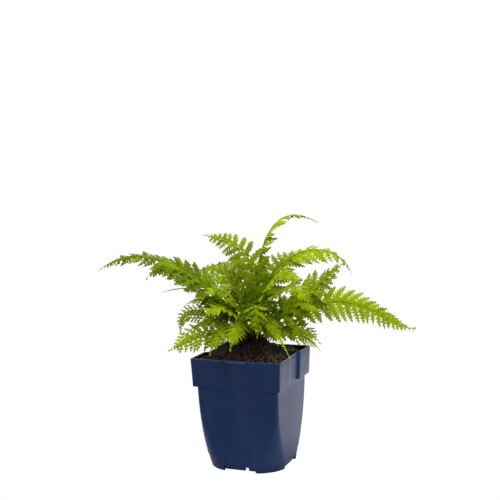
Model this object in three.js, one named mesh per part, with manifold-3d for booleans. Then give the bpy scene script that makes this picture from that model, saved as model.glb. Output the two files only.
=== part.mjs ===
// Lady fern in a square nursery pot: pot, soil, crown and fronds. Millimetres, +Z up.
// The origin is on the ground under the middle of the pot, whose sides face along X and Y.
import * as THREE from 'three';
import { mergeVertices } from 'three/addons/utils/BufferGeometryUtils.js';
import Module from 'manifold-3d';

const wasm = await Module();
wasm.setup();

const TURN = Math.PI / 180;

// Pot: a thin square body that rounds off downwards, under a square collar.
const POT_HEIGHT = 132;
const COLLAR_FOOT = 99;
const COLLAR_HALF = [53.5, 55];
const COLLAR_CORNER = 1.6;
const BODY_HALF = [47, 49.85];
const BODY_CORNER = [35.6, 3.3];
const CORNER_BEND = 2.33;
const BODY_LEVELS = [32, 52, 75];
const WALL = 1.6;
const WALL_LEVELS = [32, 75];
const COLLAR_STEP = 0.3;
const BASE_STEP = 15;
const BASE_STEP_RISE = 0.8;
const BASE_INSET = 0.5;
const SMALLEST_CORNER = 0.4;
const CORNER_STEPS = 4;
// Middle of each collar side: a panel set back, its edge scooped out before a low lip.
const PANEL_HALF = 16;
const PANEL_FLANK = 1.5;
const PANEL_DEPTH = 2.8;
const SCOOP_HALF = 13;
const SCOOP_DROP = 3.6;
const LIP_DROP = 0.6;
const LIP_THICKNESS = 0.8;
// Underside: a foot ring round a raised floor. On each side the ring's edge is raised, its
// outer face is set back above that edge, and a notch through it lets water out.
const FOOT_RING = 3.2;
const UNDERSIDE = 6.5;
const FLOOR = 8.6;
const RAISED_EDGE = { from: -19.4, to: 19.6, inner: -25, height: 2.1 };
const DRAIN_NOTCH = { from: 6.8, to: 11.2, inner: -38, height: 6.4 };
const RECESS = { from: -19, to: 19.2, inner: -30, height: 5.8, depth: 1.5 };
const DRAIN_HOLE = { radius: 4, offset: 22, sides: 12 };
// The forms that cut reach past the surface, and out to here on each side of the pot.
const PAST = 2;
const OUTSIDE = -60;

// Soil: fills the pot a little below the edge and mounds up to the crown.
const GAP = 0.3;
const SOIL_EDGE = 127;
const SOIL_MOUND = 14;
const SOIL_SLOPE = 8;
const SOIL_CURVE = 1.15;
const SOIL_LUMP = 0.9;
const SOIL_SHELLS = [0.85, 0.55, 0.28];
const CROWN_SLACK = 0.5;

// Crown: the knob of old leaf bases that the fronds grow from.
const CROWN_RADIUS = 19;
const CROWN_FOOT = 124;
const CROWN_SHOULDER = 141;
const CROWN_DOME = 9;
const CROWN_SIDES = 10;
const CROWN_LOBES = { count: 7, height: 0.5 };
const CROWN_UNDERCUT = { share: 0.9, height: 4 };
const CROWN_TOP_SHARE = 0.72;

// Fronds. The stem is a slim square bar, thinner towards the tip, which is the blade's rib.
const STEM_HALF = [1.15, 0.45];
const STEM_IN_CROWN = 5.5;
const STEM_HOLE_ABOVE = 8;
const STEEPEST_LEAN = 64;
const STEM_RINGS = 4;
const TIP_LENGTH = 7;
const TIP_HALF = 0.3;
// The blade widens from its foot to its widest place and narrows to a slim end.
const BLADE = { foot: 0.58, widest: 0.36, taper: 0.95, curve: 1.25, end: 0.12 };
const LEAFLET_THICKNESS = 0.8;
const LEAFLET_LEAN = [14, 44];
const LEAFLET_DROOP = 0.13;
const DROOP_WAYS = { face: 0.6, down: 0.5 };
const LEAFLET_HALF = { ofPitch: 0.48, ofReach: 0.34, more: 1 };
const LEAFLET_ROOT = 0.45;
const SHORTEST_LEAFLET = 2.6;
// A leaflet's half outline: [share of its length, share of its half width] with two teeth.
const TOOTHED = [[0.22, 1.0], [0.38, 0.5], [0.60, 0.76], [0.74, 0.28]];
const PLAIN = [[0.2, 0.95], [0.62, 0.75]];
// A leaflet keeps this far from the other fronds: it lifts or sinks first, then is shorter.
const CLEARANCE = 2.6;
const SAMPLE_STEP = 2;
const BENDS = [0, 9, -9, 18, -18, 28, -28];
const SHORTENINGS = [1, 0.8, 0.6, 0.42];

// Where the stems stand in the crown: three rings, the arching fronds outermost.
const RING_RADIUS = { outer: 15.5, middle: 9.5, inner: 4 };

// azimuth, launch, fall and roll in degrees; reach, rise and half width in mm. rise is the
// tip's height over the foot, pull how far the curve keeps to each end's direction, roll the
// blade's turn about its rib, bare the share of the stem without leaflets. hang, where it is
// given, is how many degrees the leaflets stand below the blade.
const FRONDS = [
  { name: 'frond_right_long', ring: 'outer', azimuth: 26, reach: 198, rise: 7, launch: 44,
    fall: 11, pull: [0.75, 0.19], roll: 62, half: 25, bare: 0.18, pairs: 10, cut: TOOTHED },
  { name: 'frond_left_long', ring: 'middle', azimuth: 194, reach: 184, rise: 81, launch: 62,
    fall: -36, pull: [0.36, 0.45], roll: -12, hang: 15, half: 24, bare: 0.20, pairs: 10, cut: TOOTHED },
  { name: 'frond_left_arched', ring: 'middle', azimuth: 220, reach: 124, rise: 77, launch: 71,
    fall: -60, pull: [0.27, 0.40], roll: -48, half: 29, bare: 0.18, pairs: 8, cut: TOOTHED },
  { name: 'frond_upper_left', ring: 'inner', azimuth: 158, reach: 78, rise: 118, launch: 102,
    fall: 4, pull: [0.37, 0.86], roll: -58, half: 22, bare: 0.24, pairs: 8, cut: TOOTHED },
  { name: 'frond_top', ring: 'inner', azimuth: 47, reach: 93, rise: 130, launch: 91,
    fall: -32, pull: [0.62, 0.50], roll: -12, half: 16, bare: 0.22, pairs: 9, cut: PLAIN },
  { name: 'frond_upper_right', ring: 'middle', azimuth: 40, reach: 130, rise: 67, launch: 95,
    fall: -75, pull: [0.82, 0.42], roll: 10, hang: 26, half: 26, bare: 0.22, pairs: 8, cut: TOOTHED },
  { name: 'frond_right_upright', ring: 'middle', azimuth: 2, reach: 113, rise: 91, launch: 41,
    fall: 39, pull: [0.49, 0.36], roll: 48, half: 30, bare: 0.20, pairs: 7, cut: TOOTHED },
  { name: 'frond_right_low', ring: 'outer', azimuth: 350, reach: 91, rise: 4, launch: 47,
    fall: -42, pull: [0.45, 0.36], roll: 45, half: 17, bare: 0.20, pairs: 5, cut: PLAIN },
  { name: 'frond_right_drooping', ring: 'outer', azimuth: 44, reach: 90, rise: -22, launch: 47,
    fall: -60, pull: [0.32, 0.33], roll: 40, half: 15, bare: 0.24, pairs: 5, cut: PLAIN },
  { name: 'frond_front_right', ring: 'outer', azimuth: 314, reach: 108, rise: -1, launch: 73,
    fall: -32, pull: [0.70, 0.53], roll: 0, half: 8, bare: 0.24, pairs: 6, cut: PLAIN },
  { name: 'frond_front_low', ring: 'outer', azimuth: 332, reach: 46, rise: 1, launch: 88,
    fall: -68, pull: [0.90, 0.90], roll: 40, half: 17, bare: 0.18, pairs: 4, cut: PLAIN },
  { name: 'frond_front_left', ring: 'outer', azimuth: 270, reach: 65, rise: 1, launch: 84,
    fall: -60, pull: [0.78, 0.70], roll: -10, half: 18, bare: 0.18, pairs: 5, cut: TOOTHED },
  { name: 'frond_front_left_low', ring: 'outer', azimuth: 250, reach: 71, rise: -5, launch: 76,
    fall: -76, pull: [0.59, 0.67], roll: -12, half: 19, bare: 0.22, pairs: 5, cut: PLAIN },
  { name: 'frond_left_low', ring: 'outer', azimuth: 233, reach: 109, rise: 1, launch: 33,
    fall: -21, pull: [0.51, 0.34], roll: -58, half: 20, bare: 0.18, pairs: 7, cut: TOOTHED },
  { name: 'frond_left_hooked', ring: 'outer', azimuth: 217, reach: 84, rise: 9, launch: 65,
    fall: -102, pull: [0.50, 0.78], roll: -60, half: 12, bare: 0.22, pairs: 7, cut: PLAIN },
  { name: 'frond_left_small', ring: 'outer', azimuth: 184, reach: 84, rise: 38, launch: 77,
    fall: -43, pull: [0.62, 0.35], roll: -40, half: 13, bare: 0.24, pairs: 5, cut: PLAIN },
  { name: 'frond_front_left_mid', ring: 'middle', azimuth: 244, reach: 72, rise: 32, launch: 76,
    fall: -52, pull: [0.62, 0.45], roll: -26, half: 22, bare: 0.18, pairs: 5, cut: PLAIN },
  { name: 'frond_front_mid', ring: 'middle', azimuth: 298, reach: 60, rise: 12, launch: 76,
    fall: -95, pull: [0.94, 1.05], roll: 6, half: 24, bare: 0.12, pairs: 6, cut: TOOTHED },
  { name: 'frond_front_right_mid', ring: 'middle', azimuth: 325, reach: 118, rise: 50, launch: 66,
    fall: -51, pull: [0.46, 0.51], roll: 22, half: 24, bare: 0.18, pairs: 6, cut: PLAIN },
  { name: 'frond_centre_left', ring: 'inner', azimuth: 236, reach: 66, rise: 53, launch: 75,
    fall: -49, pull: [0.68, 0.37], roll: -34, half: 25, bare: 0.10, pairs: 6, cut: PLAIN },
  { name: 'frond_centre_right', ring: 'inner', azimuth: 330, reach: 92, rise: 64, launch: 81,
    fall: -56, pull: [0.70, 0.37], roll: 30, half: 25, bare: 0.10, pairs: 7, cut: PLAIN },
  { name: 'frond_right_mid', ring: 'outer', azimuth: 12, reach: 96, rise: 30, launch: 75,
    fall: -67, pull: [0.59, 0.47], roll: 40, half: 24, bare: 0.16, pairs: 6, cut: PLAIN },
  { name: 'frond_left_mid', ring: 'outer', azimuth: 200, reach: 104, rise: 59, launch: 61,
    fall: -15, pull: [0.69, 0.38], roll: 10, half: 13, bare: 0.24, pairs: 6, cut: PLAIN },
  { name: 'frond_left_upright', ring: 'middle', azimuth: 170, reach: 78, rise: 73, launch: 92,
    fall: -34, pull: [0.68, 0.40], roll: -40, half: 24, bare: 0.20, pairs: 6, cut: PLAIN },
  { name: 'frond_back_left_high', ring: 'middle', azimuth: 143, reach: 92, rise: 76, launch: 86,
    fall: -22, pull: [0.62, 0.55], roll: -20, half: 24, bare: 0.20, pairs: 6, cut: PLAIN },
  { name: 'frond_back_high', ring: 'middle', azimuth: 96, reach: 87, rise: 74, launch: 78,
    fall: -34, pull: [0.56, 0.42], roll: 20, half: 24, bare: 0.20, pairs: 6, cut: PLAIN },
  { name: 'frond_back_right_high', ring: 'middle', azimuth: 65, reach: 96, rise: 82, launch: 75,
    fall: -30, pull: [0.50, 0.44], roll: 40, half: 24, bare: 0.20, pairs: 6, cut: PLAIN },
  { name: 'frond_back_left_low', ring: 'outer', azimuth: 163, reach: 96, rise: 2, launch: 52,
    fall: -46, pull: [0.45, 0.40], roll: 0, hang: 25, half: 19, bare: 0.16, pairs: 5, cut: PLAIN },
  { name: 'frond_back_low', ring: 'outer', azimuth: 126, reach: 98, rise: 6, launch: 50,
    fall: -40, pull: [0.45, 0.40], roll: 0, hang: 40, half: 20, bare: 0.12, pairs: 5, cut: PLAIN },
  { name: 'frond_back_right_low', ring: 'outer', azimuth: 86, reach: 88, rise: 4, launch: 54,
    fall: -44, pull: [0.48, 0.40], roll: 0, hang: 40, half: 19, bare: 0.12, pairs: 5, cut: PLAIN },
];

const COLOURS = { pot: 0x1d2c4b, soil: 0x241d15, crown: 0x33271b, frond: 0x7ea012 };

const lerp = (range, share) => range[0] + (range[1] - range[0]) * share;

// ---- closed meshes -------------------------------------------------------------------

function meshGeometry(vertices, triangles) {
  const geometry = new THREE.BufferGeometry();
  geometry.setAttribute('position', new THREE.Float32BufferAttribute(vertices.flat(), 3));
  geometry.setIndex(triangles.flat());
  return geometry;
}

// Rings of equal length joined in order, with a fan closing each end.
function loft(rings, firstCentre, lastCentre) {
  const size = rings[0].length;
  const vertices = rings.flat();
  const triangles = [];
  for (let ring = 0; ring + 1 < rings.length; ring++) {
    for (let i = 0; i < size; i++) {
      const j = (i + 1) % size;
      const [a, b] = [ring * size + i, ring * size + j];
      triangles.push([a, b, b + size], [a, b + size, a + size]);
    }
  }
  const [start, end] = [vertices.length, vertices.length + 1];
  vertices.push(firstCentre, lastCentre);
  const last = (rings.length - 1) * size;
  for (let i = 0; i < size; i++) {
    const j = (i + 1) % size;
    triangles.push([start, j, i], [end, last + i, last + j]);
  }
  return meshGeometry(vertices, triangles);
}

function toSolid(geometry) {
  const bare = geometry.clone();
  bare.deleteAttribute('normal');
  bare.deleteAttribute('uv');
  const merged = mergeVertices(bare, 1e-4);
  return new wasm.Manifold(new wasm.Mesh({
    numProp: 3,
    vertProperties: new Float32Array(merged.attributes.position.array),
    triVerts: new Uint32Array(merged.index.array),
  }));
}

function fromSolid(solid) {
  const { vertProperties, triVerts } = solid.getMesh();
  const geometry = new THREE.BufferGeometry();
  geometry.setAttribute('position', new THREE.BufferAttribute(vertProperties, 3));
  geometry.setIndex(new THREE.BufferAttribute(triVerts, 1));
  return geometry;
}

function cutAway(geometry, cutters) {
  return fromSolid(cutters.reduce((solid, cutter) => solid.subtract(toSolid(cutter)), toSolid(geometry)));
}

function boxBetween(low, high) {
  const size = high.map((value, axis) => value - low[axis]);
  const centre = high.map((value, axis) => (value + low[axis]) / 2);
  return new THREE.BoxGeometry(...size).translate(...centre);
}

// ---- pot -----------------------------------------------------------------------------

// A square ring with rounded corners. Two pairs of points on each side mark the panel's
// flanks, and the inner pair is set back by panelDepth.
function squareRing(half, corner, panelDepth, inset) {
  const reach = half - inset;
  const radius = Math.max(corner - inset, SMALLEST_CORNER);
  const panelReach = reach - panelDepth;
  const scale = Math.min(1, (reach - radius - 1) / PANEL_HALF);
  const inner = (PANEL_HALF - PANEL_FLANK) * scale;
  const outer = PANEL_HALF * scale;
  const side = [[-outer, reach], [-inner, panelReach], [inner, panelReach], [outer, reach]];
  const ring = [];
  for (let quarter = 0; quarter < 4; quarter++) {
    // Front first, then round counter-clockwise as seen from above.
    const turn = -Math.PI / 2 + (quarter * Math.PI) / 2;
    const [outX, outY] = [Math.cos(turn), Math.sin(turn)];
    for (const [along, out] of side) ring.push([outX * out - outY * along, outY * out + outX * along]);
    for (let step = 0; step <= CORNER_STEPS; step++) {
      const angle = (step / CORNER_STEPS) * (Math.PI / 2);
      const along = reach - radius + radius * Math.sin(angle);
      const out = reach - radius + radius * Math.cos(angle);
      ring.push([outX * out - outY * along, outY * out + outX * along]);
    }
  }
  return ring;
}

function bodyRing(z, inset) {
  const share = Math.min(Math.max(z / COLLAR_FOOT, 0), 1);
  const corner = BODY_CORNER[1] + (BODY_CORNER[0] - BODY_CORNER[1]) * (1 - share) ** CORNER_BEND;
  return squareRing(lerp(BODY_HALF, share), corner, 0, inset).map(([x, y]) => [x, y, z]);
}

function collarRing(z, inset) {
  const share = (z - COLLAR_FOOT) / (POT_HEIGHT - COLLAR_FOOT);
  return squareRing(lerp(COLLAR_HALF, share), COLLAR_CORNER, PANEL_DEPTH, inset).map(([x, y]) => [x, y, z]);
}

// Each cut is made once on each side, turned by a quarter about the pot's axis.
function fourSides(makeCutter) {
  return [0, 1, 2, 3].map((quarter) => makeCutter().rotateZ((quarter * Math.PI) / 2));
}

// A shallow recess in the foot, whose back follows the rounded wall.
function makeRecessCutter() {
  const rings = [-PAST, 0, BASE_STEP].map((z) => bodyRing(z, BASE_INSET + RECESS.depth));
  const core = loft(rings, [0, 0, -PAST], [0, 0, BASE_STEP]);
  const block = boxBetween([RECESS.from, OUTSIDE, -PAST / 2], [RECESS.to, RECESS.inner, RECESS.height]);
  return cutAway(block, [core]);
}

function makePot() {
  const rings = [
    bodyRing(UNDERSIDE, BASE_INSET + FOOT_RING),
    bodyRing(0, BASE_INSET + FOOT_RING),
    bodyRing(0, BASE_INSET),
    bodyRing(BASE_STEP, BASE_INSET),
    bodyRing(BASE_STEP + BASE_STEP_RISE, 0),
    ...BODY_LEVELS.map((z) => bodyRing(z, 0)),
    bodyRing(COLLAR_FOOT - COLLAR_STEP, 0),
    collarRing(COLLAR_FOOT, 0),
    collarRing(POT_HEIGHT, 0),
    collarRing(POT_HEIGHT, WALL),
    collarRing(COLLAR_FOOT + WALL, WALL),
    bodyRing(COLLAR_FOOT - COLLAR_STEP, WALL),
    ...WALL_LEVELS.toReversed().map((z) => bodyRing(z, WALL)),
    bodyRing(FLOOR, WALL + BASE_INSET),
  ];
  const shell = loft(rings, [0, 0, UNDERSIDE], [0, 0, FLOOR]);
  const panelInside = WALL - COLLAR_HALF[1] + PANEL_DEPTH;
  const brim = POT_HEIGHT + PAST;
  const holeHeight = FLOOR - UNDERSIDE + 2 * PAST;
  const cutters = [
    ...fourSides(() => boxBetween(
      [RAISED_EDGE.from, OUTSIDE, -PAST], [RAISED_EDGE.to, RAISED_EDGE.inner, RAISED_EDGE.height])),
    ...fourSides(() => boxBetween(
      [DRAIN_NOTCH.from, OUTSIDE, -PAST], [DRAIN_NOTCH.to, DRAIN_NOTCH.inner, DRAIN_NOTCH.height])),
    ...fourSides(makeRecessCutter),
    ...fourSides(() => boxBetween(
      [-SCOOP_HALF, OUTSIDE, POT_HEIGHT - SCOOP_DROP], [SCOOP_HALF, panelInside - LIP_THICKNESS, brim])),
    ...fourSides(() => boxBetween(
      [-SCOOP_HALF, OUTSIDE, POT_HEIGHT - LIP_DROP], [SCOOP_HALF, panelInside + PAST, brim])),
    ...fourSides(() => new THREE.CylinderGeometry(
      DRAIN_HOLE.radius, DRAIN_HOLE.radius, holeHeight, DRAIN_HOLE.sides)
      .rotateX(Math.PI / 2)
      .translate(DRAIN_HOLE.offset, DRAIN_HOLE.offset, (UNDERSIDE + FLOOR) / 2)),
  ];
  return cutAway(shell, cutters);
}

// ---- soil and crown ------------------------------------------------------------------

// The mound's height, with two gentle waves across it.
function soilHeight(x, y, edgeShare) {
  const lumps = Math.sin(x * 0.21 + 1.3) * Math.cos(y * 0.17 - 0.6) + 0.6 * Math.sin(x * 0.09 - y * 0.13);
  return SOIL_EDGE + SOIL_MOUND * (1 - edgeShare) ** SOIL_CURVE + SOIL_LUMP * lumps;
}

function makeSoil() {
  const inset = WALL + GAP;
  const edge = collarRing(SOIL_EDGE, inset);
  const rings = [
    bodyRing(FLOOR + GAP, inset + BASE_INSET),
    ...WALL_LEVELS.map((z) => bodyRing(z, inset)),
    bodyRing(COLLAR_FOOT - COLLAR_STEP, inset),
    collarRing(COLLAR_FOOT + SOIL_SLOPE, inset),
    edge,
  ];
  const holeRadius = CROWN_RADIUS + CROWN_SLACK;
  const holeRing = (z) => edge.map(([x, y]) => {
    const angle = Math.atan2(y, x);
    return [holeRadius * Math.cos(angle), holeRadius * Math.sin(angle), z];
  });
  const mouth = holeRing(0);
  for (const share of [...SOIL_SHELLS, 0]) {
    rings.push(edge.map(([x, y], i) => {
      const px = mouth[i][0] + (x - mouth[i][0]) * share;
      const py = mouth[i][1] + (y - mouth[i][1]) * share;
      return [px, py, soilHeight(px, py, share)];
    }));
  }
  rings.push(holeRing(CROWN_FOOT - GAP));
  return loft(rings, [0, 0, FLOOR + GAP], [0, 0, CROWN_FOOT - GAP]);
}

function crownRadiusAt(angle) {
  return CROWN_RADIUS + CROWN_LOBES.height * (Math.sin(angle * CROWN_LOBES.count) - 1);
}

function crownHeight(radius) {
  return CROWN_SHOULDER + CROWN_DOME * Math.sqrt(Math.max(0, 1 - (radius / CROWN_RADIUS) ** 2));
}

function makeCrown(stemHoles) {
  const ring = (share, z) => Array.from({ length: CROWN_SIDES }, (_, i) => {
    const angle = (i / CROWN_SIDES) * 2 * Math.PI;
    const radius = crownRadiusAt(angle) * share;
    return [radius * Math.cos(angle), radius * Math.sin(angle), z];
  });
  const rings = [
    ring(CROWN_UNDERCUT.share, CROWN_FOOT),
    ring(1, CROWN_FOOT + CROWN_UNDERCUT.height),
    ring(1, CROWN_SHOULDER),
    ring(CROWN_TOP_SHARE, crownHeight(CROWN_TOP_SHARE * CROWN_RADIUS)),
  ];
  const knob = loft(rings, [0, 0, CROWN_FOOT], [0, 0, crownHeight(0)]);
  return cutAway(knob, stemHoles);
}

// ---- fronds --------------------------------------------------------------------------

// The rib's curve in the upright plane through its azimuth, by length, with its own axes:
// along the rib, across the blade, and out of the blade's upper face.
function ribOf({ ring, azimuth, reach, rise, launch, fall, pull, roll }) {
  const outward = new THREE.Vector3(Math.cos(azimuth * TURN), Math.sin(azimuth * TURN), 0);
  const up = new THREE.Vector3(0, 0, 1);
  const heading = (degrees) => outward.clone().multiplyScalar(Math.cos(degrees * TURN))
    .addScaledVector(up, Math.sin(degrees * TURN));
  const radius = RING_RADIUS[ring];
  const foot = outward.clone().multiplyScalar(radius).setZ(crownHeight(radius));
  const tip = outward.clone().multiplyScalar(reach).setZ(foot.z + rise);
  const span = foot.distanceTo(tip);
  const curve = new THREE.CubicBezierCurve3(
    foot,
    foot.clone().addScaledVector(heading(launch), span * pull[0]),
    tip.clone().addScaledVector(heading(fall), -span * pull[1]),
    tip,
  );
  curve.arcLengthDivisions = 400;
  const side = new THREE.Vector3(-outward.y, outward.x, 0);
  const length = curve.getLength();
  const axesAt = (share) => {
    const along = curve.getTangentAt(share);
    const normal = along.clone().cross(side);
    const across = side.clone().multiplyScalar(Math.cos(roll * TURN))
      .addScaledVector(normal, Math.sin(roll * TURN));
    return { point: curve.getPointAt(share), along, across, face: along.clone().cross(across) };
  };
  return { length, foot, root: heading(Math.max(launch, STEEPEST_LEAN)), axesAt };
}

function stemHalf(share) {
  return lerp(STEM_HALF, share);
}

// Four corners of the stem's square section.
function stemRing({ point, across, face }, half) {
  return [[-1, -1], [1, -1], [1, 1], [-1, 1]].map(([a, f]) =>
    point.clone().addScaledVector(across, a * half).addScaledVector(face, f * half));
}

// Leaflet length along the blade, as a share of the half width.
function bladeProfile(share) {
  const rising = BLADE.foot + (1 - BLADE.foot) * Math.min(1, share / BLADE.widest);
  const pastWidest = Math.max(0, (share - BLADE.widest) / (1 - BLADE.widest));
  return rising * Math.max(BLADE.end, 1 - BLADE.taper * pastWidest ** BLADE.curve);
}

// The places of a frond's leaflet pairs, as [share of the stem, length, half width].
function leafletPlaces(frond, length) {
  const bladeLength = length * (1 - frond.bare) - TIP_LENGTH;
  const pitch = bladeLength / frond.pairs;
  return Array.from({ length: frond.pairs }, (_, pair) => {
    const bladeShare = (pair + 0.5) / frond.pairs;
    const reach = Math.max(SHORTEST_LEAFLET, frond.half * bladeProfile(bladeShare));
    return {
      share: frond.bare + (pitch * (pair + 0.5)) / length,
      reach,
      halfWidth: Math.min(pitch * LEAFLET_HALF.ofPitch, reach * LEAFLET_HALF.ofReach + LEAFLET_HALF.more),
      lean: lerp(LEAFLET_LEAN, bladeShare),
    };
  });
}

// A leaflet's outline as pairs of points [rib side, tip side], ended by its single tip.
function leafletOutline(axes, place, side, bend, shortening, cut) {
  const { along, across, face, point } = axes;
  const [cosBend, sinBend] = [Math.cos(bend * TURN), Math.sin(bend * TURN)];
  const outward = across.clone().multiplyScalar(side * cosBend).addScaledVector(face, sinBend);
  const lean = place.lean * TURN;
  const heading = outward.clone().multiplyScalar(Math.cos(lean)).addScaledVector(along, Math.sin(lean));
  const upper = along.clone().cross(heading).normalize().multiplyScalar(side);
  const start = (stemHalf(place.share) + Math.abs(sinBend) * LEAFLET_THICKNESS / 2)
    / (Math.cos(lean) * cosBend);
  const reach = place.reach * shortening - start;
  const spot = (share, half) => {
    const droop = LEAFLET_DROOP * place.reach * share * share;
    return point.clone().addScaledVector(heading, start + reach * share).addScaledVector(along, half)
      .addScaledVector(upper, -droop * DROOP_WAYS.face)
      .add(new THREE.Vector3(0, 0, -droop * DROOP_WAYS.down));
  };
  const rows = cut.map(([share, half]) => [
    spot(share, -half * place.halfWidth), spot(share, half * place.halfWidth)]);
  return { rows, tip: spot(1, 0), upper };
}

// ---- keeping the fronds apart --------------------------------------------------------

class SpaceTaken {
  constructor() {
    this.cells = new Map();
  }

  static key(point, dx = 0, dy = 0, dz = 0) {
    const cell = (value, shift) => Math.floor(value / CLEARANCE) + shift;
    return `${cell(point.x, dx)},${cell(point.y, dy)},${cell(point.z, dz)}`;
  }

  add(points, owner) {
    for (const point of points) {
      const key = SpaceTaken.key(point);
      if (!this.cells.has(key)) this.cells.set(key, []);
      this.cells.get(key).push({ point, owner });
    }
  }

  isClear(points, owner) {
    const shifts = [-1, 0, 1];
    return points.every((point) => shifts.every((dx) => shifts.every((dy) => shifts.every((dz) =>
      (this.cells.get(SpaceTaken.key(point, dx, dy, dz)) ?? []).every((other) =>
        other.owner === owner || other.point.distanceTo(point) > CLEARANCE)))));
  }
}

function samplesBetween(a, b) {
  const steps = Math.max(1, Math.ceil(a.distanceTo(b) / SAMPLE_STEP));
  return Array.from({ length: steps + 1 }, (_, i) => a.clone().lerp(b, i / steps));
}

function outlineSamples({ rows, tip }) {
  const closed = [...rows, [tip, tip]];
  const samples = samplesBetween(...rows[0]);
  for (let row = 0; row + 1 < closed.length; row++) {
    const [from, to] = [closed[row], closed[row + 1]];
    const steps = Math.max(1, Math.ceil(from[0].distanceTo(to[0]) / SAMPLE_STEP));
    for (let i = 1; i <= steps; i++) {
      const share = i / steps;
      samples.push(...samplesBetween(from[0].clone().lerp(to[0], share), from[1].clone().lerp(to[1], share)));
    }
  }
  return samples;
}

function ribSamples({ length, axesAt }) {
  const steps = Math.ceil(length / SAMPLE_STEP);
  return Array.from({ length: steps + 1 }, (_, i) => axesAt(i / steps).point);
}

// The first outline that is clear of the other fronds, or none.
function clearOutline(taken, frond, axes, place, side) {
  for (const shortening of SHORTENINGS) {
    for (const bend of BENDS) {
      const outline = leafletOutline(axes, place, side, bend - (frond.hang ?? 0), shortening, frond.cut);
      if (taken.isClear(outlineSamples(outline), frond.name)) return outline;
    }
  }
  return null;
}

// ---- one frond's mesh ----------------------------------------------------------------

class FrondMesh {
  constructor() {
    this.vertices = [];
    this.triangles = [];
  }

  addPoint(point) {
    this.vertices.push([point.x, point.y, point.z]);
    return this.vertices.length - 1;
  }

  addQuad(a, b, c, d) {
    this.triangles.push([a, b, c], [a, c, d]);
  }

  // The stem's four sides between two rings, without those that carry a leaflet.
  addStemStretch(from, to, openSides = []) {
    for (let i = 0; i < 4; i++) {
      const j = (i + 1) % 4;
      if (!openSides.includes(i)) this.addQuad(from[i], from[j], to[j], to[i]);
    }
  }

  // A plate from an open side of the stem, whose corners are given round that side.
  addLeaflet(outline, corners, side) {
    const { rows, tip, upper } = outline;
    const half = upper.clone().multiplyScalar(LEAFLET_THICKNESS / 2);
    const ring = ([rear, front]) => [
      this.addPoint(rear.clone().sub(half)), this.addPoint(front.clone().sub(half)),
      this.addPoint(front.clone().add(half)), this.addPoint(rear.clone().add(half)),
    ];
    let last = corners;
    for (const row of rows) {
      const next = ring(row);
      for (let i = 0; i < 4; i++) {
        const j = (i + 1) % 4;
        if (side < 0) this.addQuad(last[i], last[j], next[j], next[i]);
        else this.addQuad(last[j], last[i], next[i], next[j]);
      }
      last = next;
    }
    const low = this.addPoint(tip.clone().sub(half));
    const high = this.addPoint(tip.clone().add(half));
    const faces = [[last[0], last[1], low], [last[2], last[3], high]];
    const edges = [[last[1], last[2], high, low], [last[3], last[0], low, high]];
    for (const [a, b, c] of faces) this.triangles.push(side < 0 ? [a, b, c] : [b, a, c]);
    for (const [a, b, c, d] of edges) {
      if (side < 0) this.addQuad(a, b, c, d);
      else this.addQuad(b, a, d, c);
    }
  }
}

function makeFrond(frond, rib, outlines) {
  const mesh = new FrondMesh();
  const ringAt = (axes, half) => stemRing(axes, half).map((corner) => mesh.addPoint(corner));
  const foot = rib.axesAt(0);
  foot.point = rib.foot.clone().addScaledVector(rib.root, -STEM_IN_CROWN);
  let last = ringAt(foot, stemHalf(0));
  mesh.addQuad(last[3], last[2], last[1], last[0]);
  const places = leafletPlaces(frond, rib.length);
  const rootHalf = (place) => (place.halfWidth * LEAFLET_ROOT) / rib.length;
  const bladeStart = places[0].share - rootHalf(places[0]);
  for (let step = 0; step < STEM_RINGS; step++) {
    const share = (bladeStart * step) / STEM_RINGS;
    const next = ringAt(rib.axesAt(share), stemHalf(share));
    mesh.addStemStretch(last, next);
    last = next;
  }
  places.forEach((place, pair) => {
    const [from, to] = [place.share - rootHalf(place), place.share + rootHalf(place)];
    const rear = ringAt(rib.axesAt(from), stemHalf(from));
    const front = ringAt(rib.axesAt(to), stemHalf(to));
    const [left, right] = outlines[pair];
    mesh.addStemStretch(last, rear);
    mesh.addStemStretch(rear, front, [...(left ? [1] : []), ...(right ? [3] : [])]);
    if (left) mesh.addLeaflet(left, [rear[1], front[1], front[2], rear[2]], 1);
    if (right) mesh.addLeaflet(right, [rear[0], front[0], front[3], rear[3]], -1);
    last = front;
  });
  const tip = ringAt(rib.axesAt(1), TIP_HALF);
  mesh.addStemStretch(last, tip);
  mesh.addQuad(tip[0], tip[1], tip[2], tip[3]);
  return meshGeometry(mesh.vertices, mesh.triangles);
}

// The form that cuts a stem's hole into the crown, a little wider than the stem.
function stemHole(rib) {
  const half = stemHalf(0) + GAP;
  const axes = rib.axesAt(0);
  const distances = [-STEM_IN_CROWN - GAP, STEM_HOLE_ABOVE];
  const centres = distances.map((distance) => rib.foot.clone().addScaledVector(rib.root, distance));
  const rings = centres.map((point) => stemRing({ ...axes, point }, half).map((corner) => corner.toArray()));
  return loft(rings, ...centres.map((centre) => centre.toArray()));
}

// ---- the plant in its pot --------------------------------------------------------------

const group = new THREE.Group();

function addPiece(name, geometry, colour, roughness) {
  geometry.computeVertexNormals();
  const material = new THREE.MeshStandardMaterial({ color: colour, roughness, metalness: 0 });
  const mesh = new THREE.Mesh(geometry, material);
  mesh.name = name;
  group.add(mesh);
}

const ribs = FRONDS.map(ribOf);
const taken = new SpaceTaken();
FRONDS.forEach((frond, i) => taken.add(ribSamples(ribs[i]), frond.name));

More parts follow.
